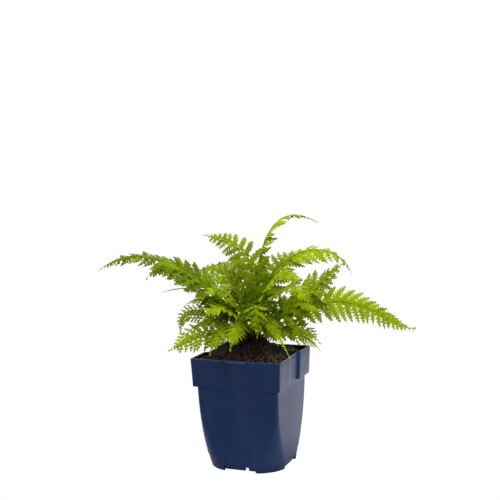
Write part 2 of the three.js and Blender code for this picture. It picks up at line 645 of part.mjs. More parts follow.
addPiece('pot', makePot(), COLOURS.pot, 0.35);
addPiece('soil', makeSoil(), COLOURS.soil, 1);
addPiece('crown', makeCrown(ribs.map(stemHole)), COLOURS.crown, 0.95);
FRONDS.forEach((frond, i) => {
  const outlines = leafletPlaces(frond, ribs[i].length).map((place) => {
    const axes = ribs[i].axesAt(place.share);
    return [1, -1].map((side) => {
      const outline = clearOutline(taken, frond, axes, place, side);
      if (outline) taken.add(outlineSamples(outline), frond.name);
      return outline;
    });
  });
  addPiece(frond.name, makeFrond(frond, ribs[i], outlines), COLOURS.frond, 0.55);
});

export default group;
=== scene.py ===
import random
from math import atan2, cos, floor, hypot, pi, radians, sin, sqrt

import bmesh
import bpy
import numpy as np
from mathutils import Matrix, Vector, noise


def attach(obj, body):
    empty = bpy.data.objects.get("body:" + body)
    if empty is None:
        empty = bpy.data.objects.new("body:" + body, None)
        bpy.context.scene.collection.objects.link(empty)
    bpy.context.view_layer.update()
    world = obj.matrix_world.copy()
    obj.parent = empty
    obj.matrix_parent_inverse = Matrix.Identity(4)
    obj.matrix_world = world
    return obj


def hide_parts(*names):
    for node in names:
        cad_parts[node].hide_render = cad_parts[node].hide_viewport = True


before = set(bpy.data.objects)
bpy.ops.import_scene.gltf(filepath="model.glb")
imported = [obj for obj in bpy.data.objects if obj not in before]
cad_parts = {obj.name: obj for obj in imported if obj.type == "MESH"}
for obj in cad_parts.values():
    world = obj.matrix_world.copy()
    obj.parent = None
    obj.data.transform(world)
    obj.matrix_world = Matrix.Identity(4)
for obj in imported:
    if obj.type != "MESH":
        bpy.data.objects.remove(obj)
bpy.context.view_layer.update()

# Lady fern in a square nursery pot. Lengths are in millimetres until a mesh is made.
MM = 0.001
UP = np.array([0.0, 0.0, 1.0])
scene = bpy.context.scene

# ---- camera ----

CAMERA_AZIMUTH, CAMERA_ELEVATION, CAMERA_ROLL = 21.7, 5.78, -1.33
CAMERA_TARGET, CAMERA_DISTANCE = (0.8, 0.0, 253.2), 1171.5
CAMERA_LENS, CAMERA_SENSOR = 72, 36


def make_camera():
    data = bpy.data.cameras.new("view")
    data.lens, data.sensor_width = CAMERA_LENS, CAMERA_SENSOR
    data.clip_start, data.clip_end = 0.01, 100
    camera = bpy.data.objects.new("view", data)
    turn = (Matrix.Rotation(radians(CAMERA_AZIMUTH), 4, "Z")
            @ Matrix.Rotation(radians(90 - CAMERA_ELEVATION), 4, "X")
            @ Matrix.Rotation(radians(CAMERA_ROLL), 4, "Z"))
    camera.matrix_world = (Matrix.Translation(Vector(CAMERA_TARGET) * MM) @ turn
                           @ Matrix.Translation((0, 0, CAMERA_DISTANCE * MM)))
    scene.collection.objects.link(camera)
    scene.camera = camera


# ---- meshes ----

class Shape:
    """Collects closed forms: points in mm, faces, and for each point a place on the leaf
    (along, across) and a tone: a random share, the share along the frond, the depth in the plant."""

    def __init__(self):
        self.points, self.places, self.tones = [], [], []
        self.faces, self.slots = [], []
        self.count = 0

    def add(self, points, faces, slot=0, places=None, tone=(0.5, 0.5, 0.5)):
        points = np.asarray(points, float)
        size = len(points)
        self.points.append(points)
        self.places.append(np.full((size, 2), 0.5) if places is None else places)
        self.tones.append(np.broadcast_to(tone, (size, 3)))
        start = self.count
        self.faces.extend([tuple(i + start for i in face) for face in faces])
        self.slots.extend([slot] * len(faces))
        self.count += size

    def make(self, name, materials, sharp_over=None):
        mesh = bpy.data.meshes.new(name)
        points = np.concatenate(self.points) * MM
        mesh.from_pydata(points.tolist(), [], self.faces)
        for material in materials:
            mesh.materials.append(material)
        mesh.polygons.foreach_set("material_index", self.slots)
        corners = np.empty(len(mesh.loops), int)
        mesh.loops.foreach_get("vertex_index", corners)
        layer = mesh.uv_layers.new(name="place")
        layer.uv.foreach_set("vector", np.concatenate(self.places)[corners].astype(np.float32).ravel())
        tones = mesh.attributes.new("tone", "FLOAT_VECTOR", "POINT")
        tones.data.foreach_set("vector", np.concatenate(self.tones).astype(np.float32).ravel())
        mesh.shade_smooth()
        if sharp_over is not None:
            mesh.set_sharp_from_angle(angle=radians(sharp_over))
        mesh.validate()
        mesh.update()
        piece = bpy.data.objects.new(name, mesh)
        scene.collection.objects.link(piece)
        return piece


def unit(vector):
    return vector / max(np.linalg.norm(vector), 1e-9)


def turned(vector, axis, angle):
    """vector turned about a unit axis, in radians."""
    return (vector * cos(angle) + np.cross(axis, vector) * sin(angle)
            + axis * axis.dot(vector) * (1 - cos(angle)))


def spun(points, angle):
    """Points turned about the upright axis, in radians."""
    x, y, z = points.T
    return np.stack([x * cos(angle) - y * sin(angle), x * sin(angle) + y * cos(angle), z], 1)


def outward(angle):
    return np.array([cos(angle), sin(angle), 0.0])


def circle(sides):
    """The angles of a ring's corners."""
    return np.arange(sides) * (2 * pi / sides)


def wall_faces(rings, sides):
    """Faces with four corners that join rings in order."""
    faces = []
    for ring in range(rings - 1):
        for i in range(sides):
            a, b = ring * sides + i, ring * sides + (i + 1) % sides
            faces.append((a, b, b + sides, a + sides))
    return faces


def tube_faces(rings, sides):
    """Faces of a tube of rings, with a cap on each end."""
    last = (rings - 1) * sides
    return wall_faces(rings, sides) + [tuple(range(sides - 1, -1, -1)), tuple(range(last, last + sides))]


def tube(centres, radii, sides, hint=UP, hints=None, squash=1.0, groove=1.0):
    """Points and faces of a closed tube along centres. hint, or one of hints for each centre,
    points to the side of its first corner, where groove is the share of the radius."""
    centres = np.asarray(centres, float)
    first, second = np.cos(circle(sides))[:, None], squash * np.sin(circle(sides))[:, None]
    section = np.ones((sides, 1))
    section[0] = groove
    points = []
    across = hint
    for i, (centre, way, radius) in enumerate(zip(centres, np.gradient(centres, axis=0), radii)):
        way = unit(way)
        side = across if hints is None else hints[i]
        across = side - way * side.dot(way)
        if np.linalg.norm(across) < 1e-3:
            across = np.cross(way, [1.0, 0.3, 0.2])
        across = unit(across)
        points.append(centre + radius * section * (first * across + second * np.cross(way, across)))
    return np.concatenate(points), tube_faces(len(centres), sides)


def loft(rings):
    """Points and faces of rings joined in order, with a fan from the axis closing each end."""
    size = len(rings[0])
    last, start, end = (len(rings) - 1) * size, len(rings) * size, len(rings) * size + 1
    faces = wall_faces(len(rings), size)
    for i in range(size):
        j = (i + 1) % size
        faces += [(start, j, i), (end, last + i, last + j)]
    points = np.concatenate([*rings, [[0, 0, rings[0][0, 2]], [0, 0, rings[-1][0, 2]]]])
    return points, faces


# ---- fronds: the ribs, as in the solids ----

CROWN_RADIUS, CROWN_SHOULDER, CROWN_DOME, CROWN_FOOT = 19, 141, 9, 124
STEM_HALF = (1.15, 0.45)
STEM_IN_CROWN = 5.5
STEEPEST_LEAN = 64
TIP_LENGTH = 7
BLADE_FOOT, BLADE_WIDEST, BLADE_TAPER, BLADE_CURVE, BLADE_END = 0.58, 0.36, 0.95, 1.25, 0.12
LEAN = (14, 44)
DROOP = 0.13

# name, radius of its foot, azimuth, reach, rise, launch, fall, pull at foot and tip, roll, half width,
# bare share, style, green
FRONDS = [row.split() for row in """
right_long 15.5 26 198 7 44 11 0.75 0.19 62 25 0.18 broad light
left_long 9.5 194 184 81 62 -36 0.36 0.45 -12 24 0.2 dense darkest
left_arched 9.5 220 124 77 71 -60 0.27 0.4 -48 29 0.18 fanned darkest
upper_left 4 158 78 118 102 4 0.37 0.86 -58 22 0.24 oval dark
top 4 47 93 130 91 -32 0.62 0.5 -12 16 0.22 drooping light
upper_right 9.5 40 130 67 95 -75 0.82 0.42 10 26 0.22 drooping light
right_upright 9.5 2 113 91 41 39 0.49 0.36 48 30 0.2 dense dark
right_low 15.5 350 91 4 47 -42 0.45 0.36 45 17 0.2 lacy dark
right_drooping 15.5 44 90 -22 47 -60 0.32 0.33 40 15 0.24 lacy light
front_right 15.5 314 108 -1 73 -32 0.7 0.53 0 8 0.24 dense light
front_low 15.5 332 46 1 88 -68 0.9 0.9 40 17 0.18 fine middle
front_left 15.5 270 65 1 84 -60 0.78 0.7 -10 18 0.18 fine middle
front_left_low 15.5 250 71 -5 76 -76 0.59 0.67 -12 19 0.22 dense middle
left_low 15.5 233 109 1 33 -21 0.51 0.34 -58 20 0.18 lacy light
left_hooked 15.5 217 84 9 65 -102 0.5 0.78 -60 12 0.22 lacy light
left_small 15.5 184 84 38 77 -43 0.62 0.35 -40 13 0.24 lacy light
front_left_mid 9.5 244 72 32 76 -52 0.62 0.45 -26 22 0.18 dense middle
front_mid 9.5 298 60 12 76 -95 0.94 1.05 6 24 0.12 dense dark
front_right_mid 9.5 325 118 50 66 -51 0.46 0.51 22 24 0.18 dense dark
centre_left 4 236 66 53 75 -49 0.68 0.37 -34 25 0.1 dense dark
centre_right 4 330 92 64 81 -56 0.7 0.37 30 25 0.1 dense dark
right_mid 15.5 12 96 30 75 -67 0.59 0.47 40 24 0.16 dense darkest
left_mid 15.5 200 104 59 61 -15 0.69 0.38 10 13 0.24 level dark
left_upright 9.5 170 78 73 92 -34 0.68 0.4 -40 24 0.2 lacy dark
back_left_high 9.5 143 92 76 86 -22 0.62 0.55 -20 24 0.2 lacy dark
back_high 9.5 96 87 74 78 -34 0.56 0.42 20 24 0.2 lacy dark
back_right_high 9.5 65 96 82 75 -30 0.5 0.44 40 24 0.2 dense dark
back_left_low 15.5 163 96 2 52 -46 0.45 0.4 0 19 0.16 lacy dark
back_low 15.5 126 98 6 50 -40 0.45 0.4 0 20 0.12 lacy dark
back_right_low 15.5 86 88 4 54 -44 0.48 0.4 0 19 0.12 lacy middle
""".strip().split("\n")]
# How many degrees further forward the leaflets lean on one side than their mean.
SKEW = {"right_long": 13}
# How many degrees the leaflets stand below the blade, on its left and right side.
HANG = {"upper_right": (0, 26), "top": (16, 16), "left_long": (26, -8), "back_low": (40, 40),
        "back_right_low": (40, 40), "back_left_low": (25, 25)}
# The range of tones of each green, and how much it pales towards the frond's tip. The darker greens are
# partly the fronds' own colour and partly painted shade, on fronds on the left, in the middle and at the
# back.
GREENS = {"darkest": ((0.0, 0.24), 0.2), "dark": ((0.12, 0.45), 0.5), "middle": ((0.22, 0.58), 0.7),
          "light": ((0.35, 0.85), 1)}


def crown_height(radius):
    return CROWN_SHOULDER + CROWN_DOME * sqrt(max(0, 1 - (radius / CROWN_RADIUS) ** 2))


class Rib:
    """A frond's rib: a cubic curve in the upright plane through its azimuth, by length."""

    def __init__(self, radius, azimuth, reach, rise, launch, fall, pull_foot, pull_tip, roll):
        out = outward(radians(azimuth))

        def heading(degrees):
            angle = radians(degrees)
            return out * cos(angle) + UP * sin(angle)

        self.foot = out * radius + UP * crown_height(radius)
        tip = out * reach + UP * (self.foot[2] + rise)
        span = np.linalg.norm(tip - self.foot)
        self.knots = (self.foot, self.foot + heading(launch) * span * pull_foot,
                      tip - heading(fall) * span * pull_tip, tip)
        self.steps = np.linspace(0, 1, 401)
        path = np.array([self.bezier(step) for step in self.steps])
        self.lengths = np.concatenate([[0], np.cumsum(np.linalg.norm(np.diff(path, axis=0), axis=1))])
        self.length = self.lengths[-1]
        self.side = np.array([-out[1], out[0], 0.0])
        self.roll = radians(roll)
        self.root = heading(max(launch, STEEPEST_LEAN))

    def bezier(self, t):
        a, b, c, d = self.knots
        u = 1 - t
        return a * u ** 3 + b * 3 * u * u * t + c * 3 * u * t * t + d * t ** 3

    def slope(self, t):
        a, b, c, d = self.knots
        u = 1 - t
        return unit((b - a) * u * u + (c - b) * 2 * u * t + (d - c) * t * t)

    def at(self, share):
        """Point, along, across and face at a share of the length."""
        t = float(np.interp(share * self.length, self.lengths, self.steps))
        along = self.slope(t)
        normal = np.cross(along, self.side)
        across = self.side * cos(self.roll) + normal * sin(self.roll)
        return self.bezier(t), along, across, np.cross(along, across)


def lerp(pair, share):
    return pair[0] + (pair[1] - pair[0]) * share


def blade_profile(share):
    """Leaflet length along the blade, as a share of the half width."""
    rising = BLADE_FOOT + (1 - BLADE_FOOT) * min(1, share / BLADE_WIDEST)
    past_widest = max(0, (share - BLADE_WIDEST) / (1 - BLADE_WIDEST))
    return rising * max(BLADE_END, 1 - BLADE_TAPER * past_widest ** BLADE_CURVE)


# ---- leaflets of the second order ----

# Stations along a pinnule: [share of its length, half width, forward shift of the edge]
LOBED = [(0.0, 0.80, 0.0), (0.16, 0.98, 0.02), (0.32, 1.00, 0.06), (0.40, 0.84, 0.02),
         (0.58, 0.98, 0.08), (0.66, 0.78, 0.03), (0.86, 0.62, 0.06)]
SIMPLE = [(0.0, 0.90, 0.0), (0.40, 1.00, 0.03), (0.78, 0.80, 0.05)]
WING = [(share, 1, 0) for share in np.linspace(0, 0.92, 9)]
LEAF_THICKNESS = 0.32
# Section of a pinnule: [across, height in half widths, share of the thickness below]
SECTION = [(-1, -0.04, 0), (-0.52, 0.10, 0), (0, -0.02, 0), (0.52, 0.10, 0), (1, -0.04, 0), (0, -0.02, 1)]
LEAF_TIP = (1.0, 0.0, -0.02, 0.25)
SCALE_BULGE, SCALE_THICKNESS = 0.3, 0.16


def leaf_template(stations):
    """Rows of (along, across, height, share of the thickness below), faces and places."""
    rows = [(share + shift * across ** 2, across * half, height, below * (1 - 0.6 * share))
            for share, half, shift in stations for across, height, below in SECTION]
    rows = np.array(rows + [LEAF_TIP])
    size = len(SECTION)
    tip = len(stations) * size
    faces = [(a, d, c, b) for a, b, c, d in wall_faces(len(stations), size)]
    faces.append(tuple(range(size)))
    faces += [(tip - size + i, tip, tip - size + (i + 1) % size) for i in range(size)]
    places = np.stack([rows[:, 0].clip(0, 1), rows[:, 1] * 0.5 + 0.5], 1)
    return rows, faces, places


TEMPLATES = {"lobed": leaf_template(LOBED), "simple": leaf_template(SIMPLE), "wing": leaf_template(WING)}


def add_blade(shape, kind, foot, way, normal, length, half, tone, bulge, thickness, rise, slot=0):
    """A thin closed blade from foot along way, whose upper face looks along normal."""
    rows, faces, places = TEMPLATES[kind]
    along, wide, height, below = rows.T
    lift = height * bulge - below * thickness + rise * along ** 2
    points = (foot + np.outer(along * length, way) + np.outer(wide * half, np.cross(normal, way))
              + np.outer(lift, normal))
    shape.add(points, faces, slot, places, tone)


def add_leaf(shape, foot, way, normal, length, half, tone, droop, kind="lobed"):
    add_blade(shape, kind, foot, way, normal, length, half, tone, half, LEAF_THICKNESS, -droop * length)


def add_scale(shape, foot, way, normal, length, half, tone, rise, slot):
    """A papery scale; half is a share of its length."""
    add_blade(shape, "simple", foot, way, normal, length, length * half, (tone, 0.5, 0.5),
              SCALE_BULGE, SCALE_THICKNESS, rise, slot)


# ---- leaflets of the first order, kept apart from other fronds' ----

CLEARANCE = 2.4
NEAR_SUM = 1.5 * CLEARANCE
BENDS = (0, 9, -9, 18, -18, 28, -28)
SHORTENINGS = (1, 0.82, 0.64)
MOST_COUNTED = 99
AROUND = [(i, j, k) for i in (-1, 0, 1) for j in (-1, 0, 1) for k in (-1, 0, 1)]


class Pinna:
    """A leaflet's midrib and width. side is 1 or -1, bend in degrees out of the blade."""

    def __init__(self, axes, side, reach, half, lean, bend, sweep, twist, start, droop, blunt, level):
        point, along, across, face = axes
        bend, lean = radians(bend), radians(lean)
        out = across * side * cos(bend) + face * sin(bend)
        self.way = out * cos(lean) + along * sin(lean)
        self.upper = unit(np.cross(along, self.way)) * side
        flat = UP - self.way * UP.dot(self.way)
        self.upper = unit(self.upper * (1 - level) + unit(flat) * level)
        self.origin = point + self.way * start
        self.length, self.half, self.side = reach - start, half, side
        self.sag = (self.upper * 0.6 + UP * 0.5) * droop * reach
        self.sweep = along * sweep * reach
        self.twist, self.blunt = twist, blunt

    def centre(self, share):
        return (self.origin + self.way * self.length * share + self.sweep * share ** 2
                - self.sag * share ** 2)

    def axes(self, share):
        """Way, forward and normal of the midrib."""
        way = unit(self.way * self.length + (self.sweep - self.sag) * 2 * share)
        forward = unit(np.cross(way, self.upper) * self.side)
        forward = turned(forward, way, self.twist * share)
        return way, forward, np.cross(forward, way) * self.side

    def width(self, share):
        return self.half * (0.88 + 0.12 * min(1, share / 0.15)) * max(0.0, 1 - share ** self.blunt) ** 0.8

    def samples(self):
        steps = max(3, int(self.length / 2))
        found = []
        for share in np.linspace(0.12, 1, steps):
            centre, (_, forward, _) = self.centre(share), self.axes(share)
            reach = forward * self.width(share) * 0.8
            found += [centre, centre + reach, centre - reach]
        return found


class Space:
    """Holds the points that fronds already take, in cells as wide as the clearance."""

    def __init__(self):
        self.cells = {}

    @staticmethod
    def cell(point):
        return tuple(int(floor(value / CLEARANCE)) for value in point)

    def add(self, points, owner):
        for point in points:
            self.cells.setdefault(self.cell(point), []).append((point, owner))

    def taken(self, point, owner):
        """Whether another owner's point lies near, by its distance and by that summed over the axes."""
        x, y, z = self.cell(point)
        for i, j, k in AROUND:
            for other, held in self.cells.get((x + i, y + j, z + k), ()):
                if held != owner and np.abs(other - point).sum() < NEAR_SUM \
                        and np.linalg.norm(other - point) < CLEARANCE:
                    return True
        return False

    def clashes(self, points, owner, enough):
        """How many points are taken, counted up to enough."""
        found = 0
        for point in points:
            found += self.taken(point, owner)
            if found >= enough:
                break
        return found


def clear_pinna(space, owner, bends, build):
    """The first pinna that clears the other fronds, or the one with the fewest points near them.
    build makes it from a bend and a share of its length."""
    fewest, best = MOST_COUNTED, None
    for share in SHORTENINGS:
        for bend in bends:
            pinna = build(bend, share)
            found = space.clashes(pinna.samples(), owner, fewest)
            if best is None or found < fewest:
                fewest, best = found, pinna
            if found == 0:
                return best
    return best


# Leaflets by style: their pitch at the foot and tip of the blade in half widths, half their
# width in pitches, the share of it that isn't cut, how blunt their outline is, the pitch and
# half width of their pinnules, how far they turn level, and how unevenly they stand.
STYLES = {
    "broad": ((0.44, 0.17), 0.54, 0.60, 2.0, 3.3, 0.50, 0.0, 0.9),
    "fine": ((0.32, 0.20), 0.60, 0.64, 1.5, 2.4, 0.52, 0.0, 0.5),
    "oval": ((0.56, 0.25), 0.46, 0.62, 3.6, 3.0, 0.50, 0.1, 0.7),
    "fanned": ((0.44, 0.19), 0.64, 0.46, 1.9, 3.6, 0.54, 0.35, 1.5),
    "level": ((0.34, 0.18), 0.56, 0.44, 1.8, 3.2, 0.54, 0.8, 1.3),
    "dense": ((0.42, 0.20), 0.60, 0.42, 1.8, 3.6, 0.54, 0.3, 1.5),
    "drooping": ((0.42, 0.20), 0.60, 0.40, 1.9, 3.7, 0.54, 0.1, 2.6),
    "lacy": ((0.42, 0.21), 0.54, 0.29, 2.0, 4.0, 0.51, 0.05, 1.0),
}
LEAST_PITCH = 3.6
PINNULE_LEAN = 33
WHOLE_AT_RIB, WHOLE_TO, LEAST_WING = 0.85, 0.16, 0.45
# A pinna shorter than this, in mm, is one small leaf, lobed where it is long enough.
SHORT_PINNA, SHORT_LOBED, LEAST_LOBED = 4.5, 2.5, 1.2
MIDRIB_RADIUS, MIDRIB_DEPTH, MIDRIB_STEPS, MIDRIB_SIDES = (0.42, 0.14), 0.16, 7, 5
# The lowest pinnule lies back along the rib, and the lowest pair is longer than the others.
LOWEST_BACK, LOWEST_LONGER, LEAST_PINNULE = 55, 1.25, 0.9
STEM_STEPS, STEM_SIDES, STEM_GROOVE = 44, 8, 0.72
TIP_FROM, TIP_NARROWING = 0.93, 8
STEM_SCALES = 16
PLANT_REACH, PLANT_RISE = 95, 110


def add_wing(shape, pinna, whole, tone):
    """The uncut blade along the midrib, which joins the pinnules."""
    rows, faces, places = TEMPLATES["wing"]
    points = np.empty((len(rows), 3))
    for share in np.unique(rows[:, 0]):
        way, _, normal = pinna.axes(share)
        cover = whole + (WHOLE_AT_RIB - whole) * max(0.0, 1 - share / WHOLE_TO)
        half = max(LEAST_WING, pinna.width(share) * cover)
        ring = rows[:, 0] == share
        _, wide, height, below = rows[ring].T
        points[ring] = (pinna.centre(share) + np.outer(wide * half, np.cross(normal, way))
                        + np.outer(height * half - below * LEAF_THICKNESS, normal))
    shape.add(points, faces, 0, places, tone)


def add_pinna(shape, pinna, rng, tone, whole, pinnule_pitch, pinnule_half):
    """The pinna's midrib and wing with its rows of pinnules."""
    draw = rng.uniform
    length = pinna.length
    if length < SHORT_PINNA:
        way, _, normal = pinna.axes(0.3)
        add_leaf(shape, pinna.origin - way * 0.3, way, normal, length + 0.3, min(length * 0.3, pinna.half),
                 tone, 0.1, "lobed" if length > SHORT_LOBED else "simple")
        return
    shares = np.linspace(-0.04, 0.97, MIDRIB_STEPS)
    centres = [pinna.centre(share) - pinna.axes(share)[2] * MIDRIB_DEPTH for share in shares]
    radii = [lerp(MIDRIB_RADIUS, share) for share in shares]
    shape.add(*tube(centres, radii, MIDRIB_SIDES, hint=pinna.upper), 1, None, (tone[0], 0.8, tone[2]))
    add_wing(shape, pinna, whole, tone)
    pairs = max(2, round((length - 0.7) / pinnule_pitch))
    pitch = (length - 0.7) / pairs
    for pair in range(pairs):
        for end in (1, -1):
            share = (0.3 + pitch * (pair + 0.38 + 0.12 * end)) / length
            way, forward, normal = pinna.axes(share)
            lean = radians(PINNULE_LEAN + 14 * share + draw(-4, 4))
            if pair == 0 and end < 0:
                lean -= radians(LOWEST_BACK)
            heading = forward * end * cos(lean) + way * sin(lean)
            normal = turned(normal, heading, draw(-0.16, 0.16))
            reach = pinna.width(share) / cos(lean) * draw(0.93, 1.05)
            if pair == 0:
                reach *= LOWEST_LONGER
            reach = max(reach, LEAST_PINNULE)
            half = pinnule_half * pitch * cos(lean)
            shade = (min(1, max(0, tone[0] + draw(-0.25, 0.25))), tone[1], tone[2])
            add_leaf(shape, pinna.centre(share), heading, normal, reach, half, shade, draw(0.04, 0.2),
                     "lobed" if reach * (1 - whole) > LEAST_LOBED else "simple")
    way, _, normal = pinna.axes(0.94)
    add_leaf(shape, pinna.centre(0.93), way, normal, max(1.2, pitch * 0.75), pitch * 0.28, tone, 0.05,
             "simple")


def add_stem(shape, rib):
    """The stalk and rib: a tube with a shallow groove along its upper side, in the crown at its foot."""
    shares = np.linspace(0, 1, STEM_STEPS)
    axes = [rib.at(share) for share in shares]
    centres = [rib.foot - rib.root * STEM_IN_CROWN] + [point for point, _, _, _ in axes]
    upper = [face for _, _, _, face in axes]
    radii = [lerp(STEM_HALF, min(1, share * 1.05)) * (1 - TIP_NARROWING * max(0, share - TIP_FROM))
             for share in (0, *shares)]
    points, faces = tube(centres, radii, STEM_SIDES, hints=upper[:1] + upper, groove=STEM_GROOVE)
    along = np.repeat([0, *shares], STEM_SIDES)
    around = np.tile(np.arange(STEM_SIDES) / STEM_SIDES, len(centres))
    middle = np.full(len(along), 0.5)
    shape.add(points, faces, 1, np.column_stack([along, around]), np.column_stack([middle, along, middle]))


def add_stem_scales(shape, rib, rng):
    """Brown papery scales on the foot of the stalk."""
    draw = rng.uniform
    for _ in range(STEM_SCALES):
        point, along, across, face = rib.at(draw(0.0, 0.13) * draw(0.3, 1))
        angle = draw(0, 2 * pi)
        out = across * cos(angle) + face * sin(angle)
        lean = draw(0.25, 0.9)
        way = unit(along * cos(lean) + out * sin(lean))
        normal = unit(out - way * out.dot(way))
        length = draw(2.2, 4.6)
        add_scale(shape, point + out * STEM_HALF[0] * 0.8, way, normal, length, 0.17, rng.random(), 0.3, 2)


def depth_of(point):
    """How deep inside the plant a point lies, from 0 at its outside to 1 at the crown. The leaves are
    darkened by it as painted shade.
    """
    return max(0.0, 1 - hypot(hypot(point[0], point[1]) / PLANT_REACH,
                              (point[2] - CROWN_SHOULDER) / PLANT_RISE))


def make_frond(index, row, rib, space, materials):
    name, (half_width, bare), style, green = row[0], map(float, row[10:12]), row[12], row[13]
    pitches, pinna_half, whole, blunt, pinnule_pitch, pinnule_half, level, uneven = STYLES[style]
    tones, paling = GREENS[green]
    hang = HANG.get(name, (0, 0))
    rng = random.Random(100 + index)
    draw = rng.uniform
    shape = Shape()
    add_stem(shape, rib)
    add_stem_scales(shape, rib, rng)
    blade = rib.length * (1 - bare) - TIP_LENGTH * 0.5
    at = 0.3 * pitches[0] * half_width
    while at < blade:
        share = at / blade
        pitch = max(LEAST_PITCH, half_width * lerp(pitches, share ** 1.6))
        for side in (1, -1):
            place = bare + (at + 0.18 * side * pitch) / rib.length
            if place > 0.995:
                continue
            axes = rib.at(place)
            reach = half_width * blade_profile(share) * draw(0.93, 1.06)
            lean = lerp(LEAN, share) + SKEW.get(name, 0) * side + uneven * draw(-6, 6)
            sweep, twist = draw(0.04, 0.14), uneven * draw(-0.3, 0.3)
            droop, jitter = DROOP * draw(0.6, 1.5), uneven * draw(-6, 6)
            half = min(pinna_half * pitch, 0.36 * reach + 0.9)
            start = lerp(STEM_HALF, place) * 0.8
            bends = [bend + (jitter - hang[side < 0]) for bend in BENDS]
            pinna = clear_pinna(space, name, bends, lambda bend, shortening: Pinna(
                axes, side, reach * shortening, half, lean, bend, sweep, twist, start, droop, blunt, level))
            space.add(pinna.samples(), name)
            tone = (draw(*tones), share * paling, depth_of(pinna.centre(0.5)))
            add_pinna(shape, pinna, rng, tone, whole, pinnule_pitch, pinnule_half)
        at += pitch
    point, along, _, face = rib.at(0.985)
    add_leaf(shape, point, along, face, 3.2, 0.9, (0.5, 1, 0), 0.05)
    piece = shape.make("fern_" + name, materials, sharp_over=60)
    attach(piece, "root")
    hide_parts("frond_" + name)


# ---- materials ----

class Nodes:
    """The node tree of a world or of a new material of that name, built by short calls."""

    def __init__(self, owner):
        if isinstance(owner, str):
            owner = bpy.data.materials.new(owner)
        owner.use_nodes = True
        self.owner, self.tree = owner, owner.node_tree
        self.shader = self.tree.nodes.get("Principled BSDF")

    def add(self, kind, inputs=(), **settings):
        node = self.tree.nodes.new("ShaderNode" + kind)
        for key, value in settings.items():
            setattr(node, key, value)
        for key, value in dict(inputs).items():
            self.set(node.inputs[key], value)
        return node

    def set(self, socket, value):
        if isinstance(value, bpy.types.NodeSocket):
            self.tree.links.new(value, socket)
        else:
            socket.default_value = value

    def noise(self, scale, detail, roughness=0.5, **more):
        inputs = {"Scale": scale, "Detail": detail, "Roughness": roughness, **more}
        return self.add("TexNoise", inputs).outputs["Fac"]

    def object_place(self, scale=(1, 1, 1)):
        """Where a point lies in its object, in metres, stretched by scale."""
        where = self.add("TexCoord").outputs["Object"]
        return where if scale == (1, 1, 1) else self.add("Mapping", {0: where, "Scale": scale}).outputs[0]

    def parts(self, vector):
        return self.add("SeparateXYZ", {0: vector}).outputs

    def tone(self):
        return self.parts(self.add("Attribute", attribute_name="tone").outputs["Vector"])

    def math(self, operation, *values):
        return self.add("Math", dict(enumerate(values)), operation=operation).outputs[0]

    def times(self, first, second):
        return self.math("MULTIPLY", first, second)

    def range(self, value, low, high, to_low=0.0, to_high=1.0):
        return self.add("MapRange", {"Value": value, "From Min": low, "From Max": high,
                                     "To Min": to_low, "To Max": to_high}).outputs[0]

    def ramp(self, value, stops):
        node = self.add("ValToRGB", {"Fac": value})
        points = node.color_ramp.elements
        while len(points) < len(stops):
            points.new(0.5)
        for point, (place, colour) in zip(points, stops):
            point.position, point.color = place, (*colour, 1)
        return node.outputs["Color"]

    def mix(self, share, first, second):
        node = self.add("Mix", data_type="RGBA")
        self.set(node.inputs[0], share)
        for socket, value in ((node.inputs[6], first), (node.inputs[7], second)):
            self.set(socket, (*value, 1) if isinstance(value, tuple) else value)
        return node.outputs[2]

    def bump(self, height, strength, distance):
        return self.add("Bump", {"Height": height, "Strength": strength, "Distance": distance}).outputs[0]

    def surface(self, **values):
        """Sets the shader's sockets, named as in Blender with _ for a space."""
        for name, value in values.items():
            self.set(self.shader.inputs[name.replace("_", " ")], value)

    def blend_output(self, share, other):
        """Blends another shader into the surface."""
        both = self.add("MixShader", {0: share, 1: self.shader.outputs[0], 2: other.outputs[0]})
        self.set(self.tree.nodes["Material Output"].inputs["Surface"], both.outputs[0])


# Colours are linear. Ramps hold (place, colour), from the darkest to the palest tone.
LEAF_GREENS = [(0.0, (0.080, 0.125, 0.0002)), (0.18, (0.150, 0.228, 0.0002)),
               (0.45, (0.310, 0.435, 0.0003)), (1.0, (0.520, 0.660, 0.0005))]
BLOTCH_GREEN, TIP_GREEN, INNER_SHADE_GREEN = (0.50, 0.63, 0.0005), (0.56, 0.68, 0.001), (0.150, 0.230, 0.0002)
VEIN_GREEN, SPECK_GREEN, LIT_GREEN = (0.45, 0.53, 0.002), (0.18, 0.27, 0.0003), (0.52, 0.68, 0.0003)
STEM_COLOURS = [(0.0, (0.035, 0.022, 0.006)), (0.05, (0.10, 0.10, 0.004)), (0.14, (0.13, 0.19, 0.002)),
                (0.3, (0.25, 0.36, 0.001)), (1.0, (0.40, 0.54, 0.001))]
SCALE_BROWNS = [(0.0, (0.009, 0.006, 0.005)), (0.6, (0.030, 0.016, 0.009)), (1.0, (0.12, 0.060, 0.025))]
FIBRE_BROWNS = [(0.0, (0.007, 0.005, 0.004)), (0.45, (0.040, 0.016, 0.007)),
                (0.75, (0.12, 0.045, 0.015)), (1.0, (0.33, 0.22, 0.10))]
SOIL_BROWNS = [(0.3, (0.0045, 0.0040, 0.0038)), (0.55, (0.010, 0.0072, 0.0055)),
               (0.75, (0.026, 0.014, 0.008))]
POT_BLUES = (0.0072, 0.0245, 0.092), (0.0094, 0.0290, 0.104)
DUST, LIP_HIGHLIGHT_BLUE, RIM_HIGHLIGHT_GREY, INSIDE_NEAR_BLACK = ((0.10, 0.11, 0.13), (0.085, 0.080, 0.190), (0.12, 0.11, 0.125),
                                       (0.0052, 0.0042, 0.0040))
LEAF_GLOSS, SOIL_GLOSS, PLASTIC_IOR = 0.05, 0.25, 1.3
SIDE_VEINS, VEIN_SLANT = 7.0, 3.2


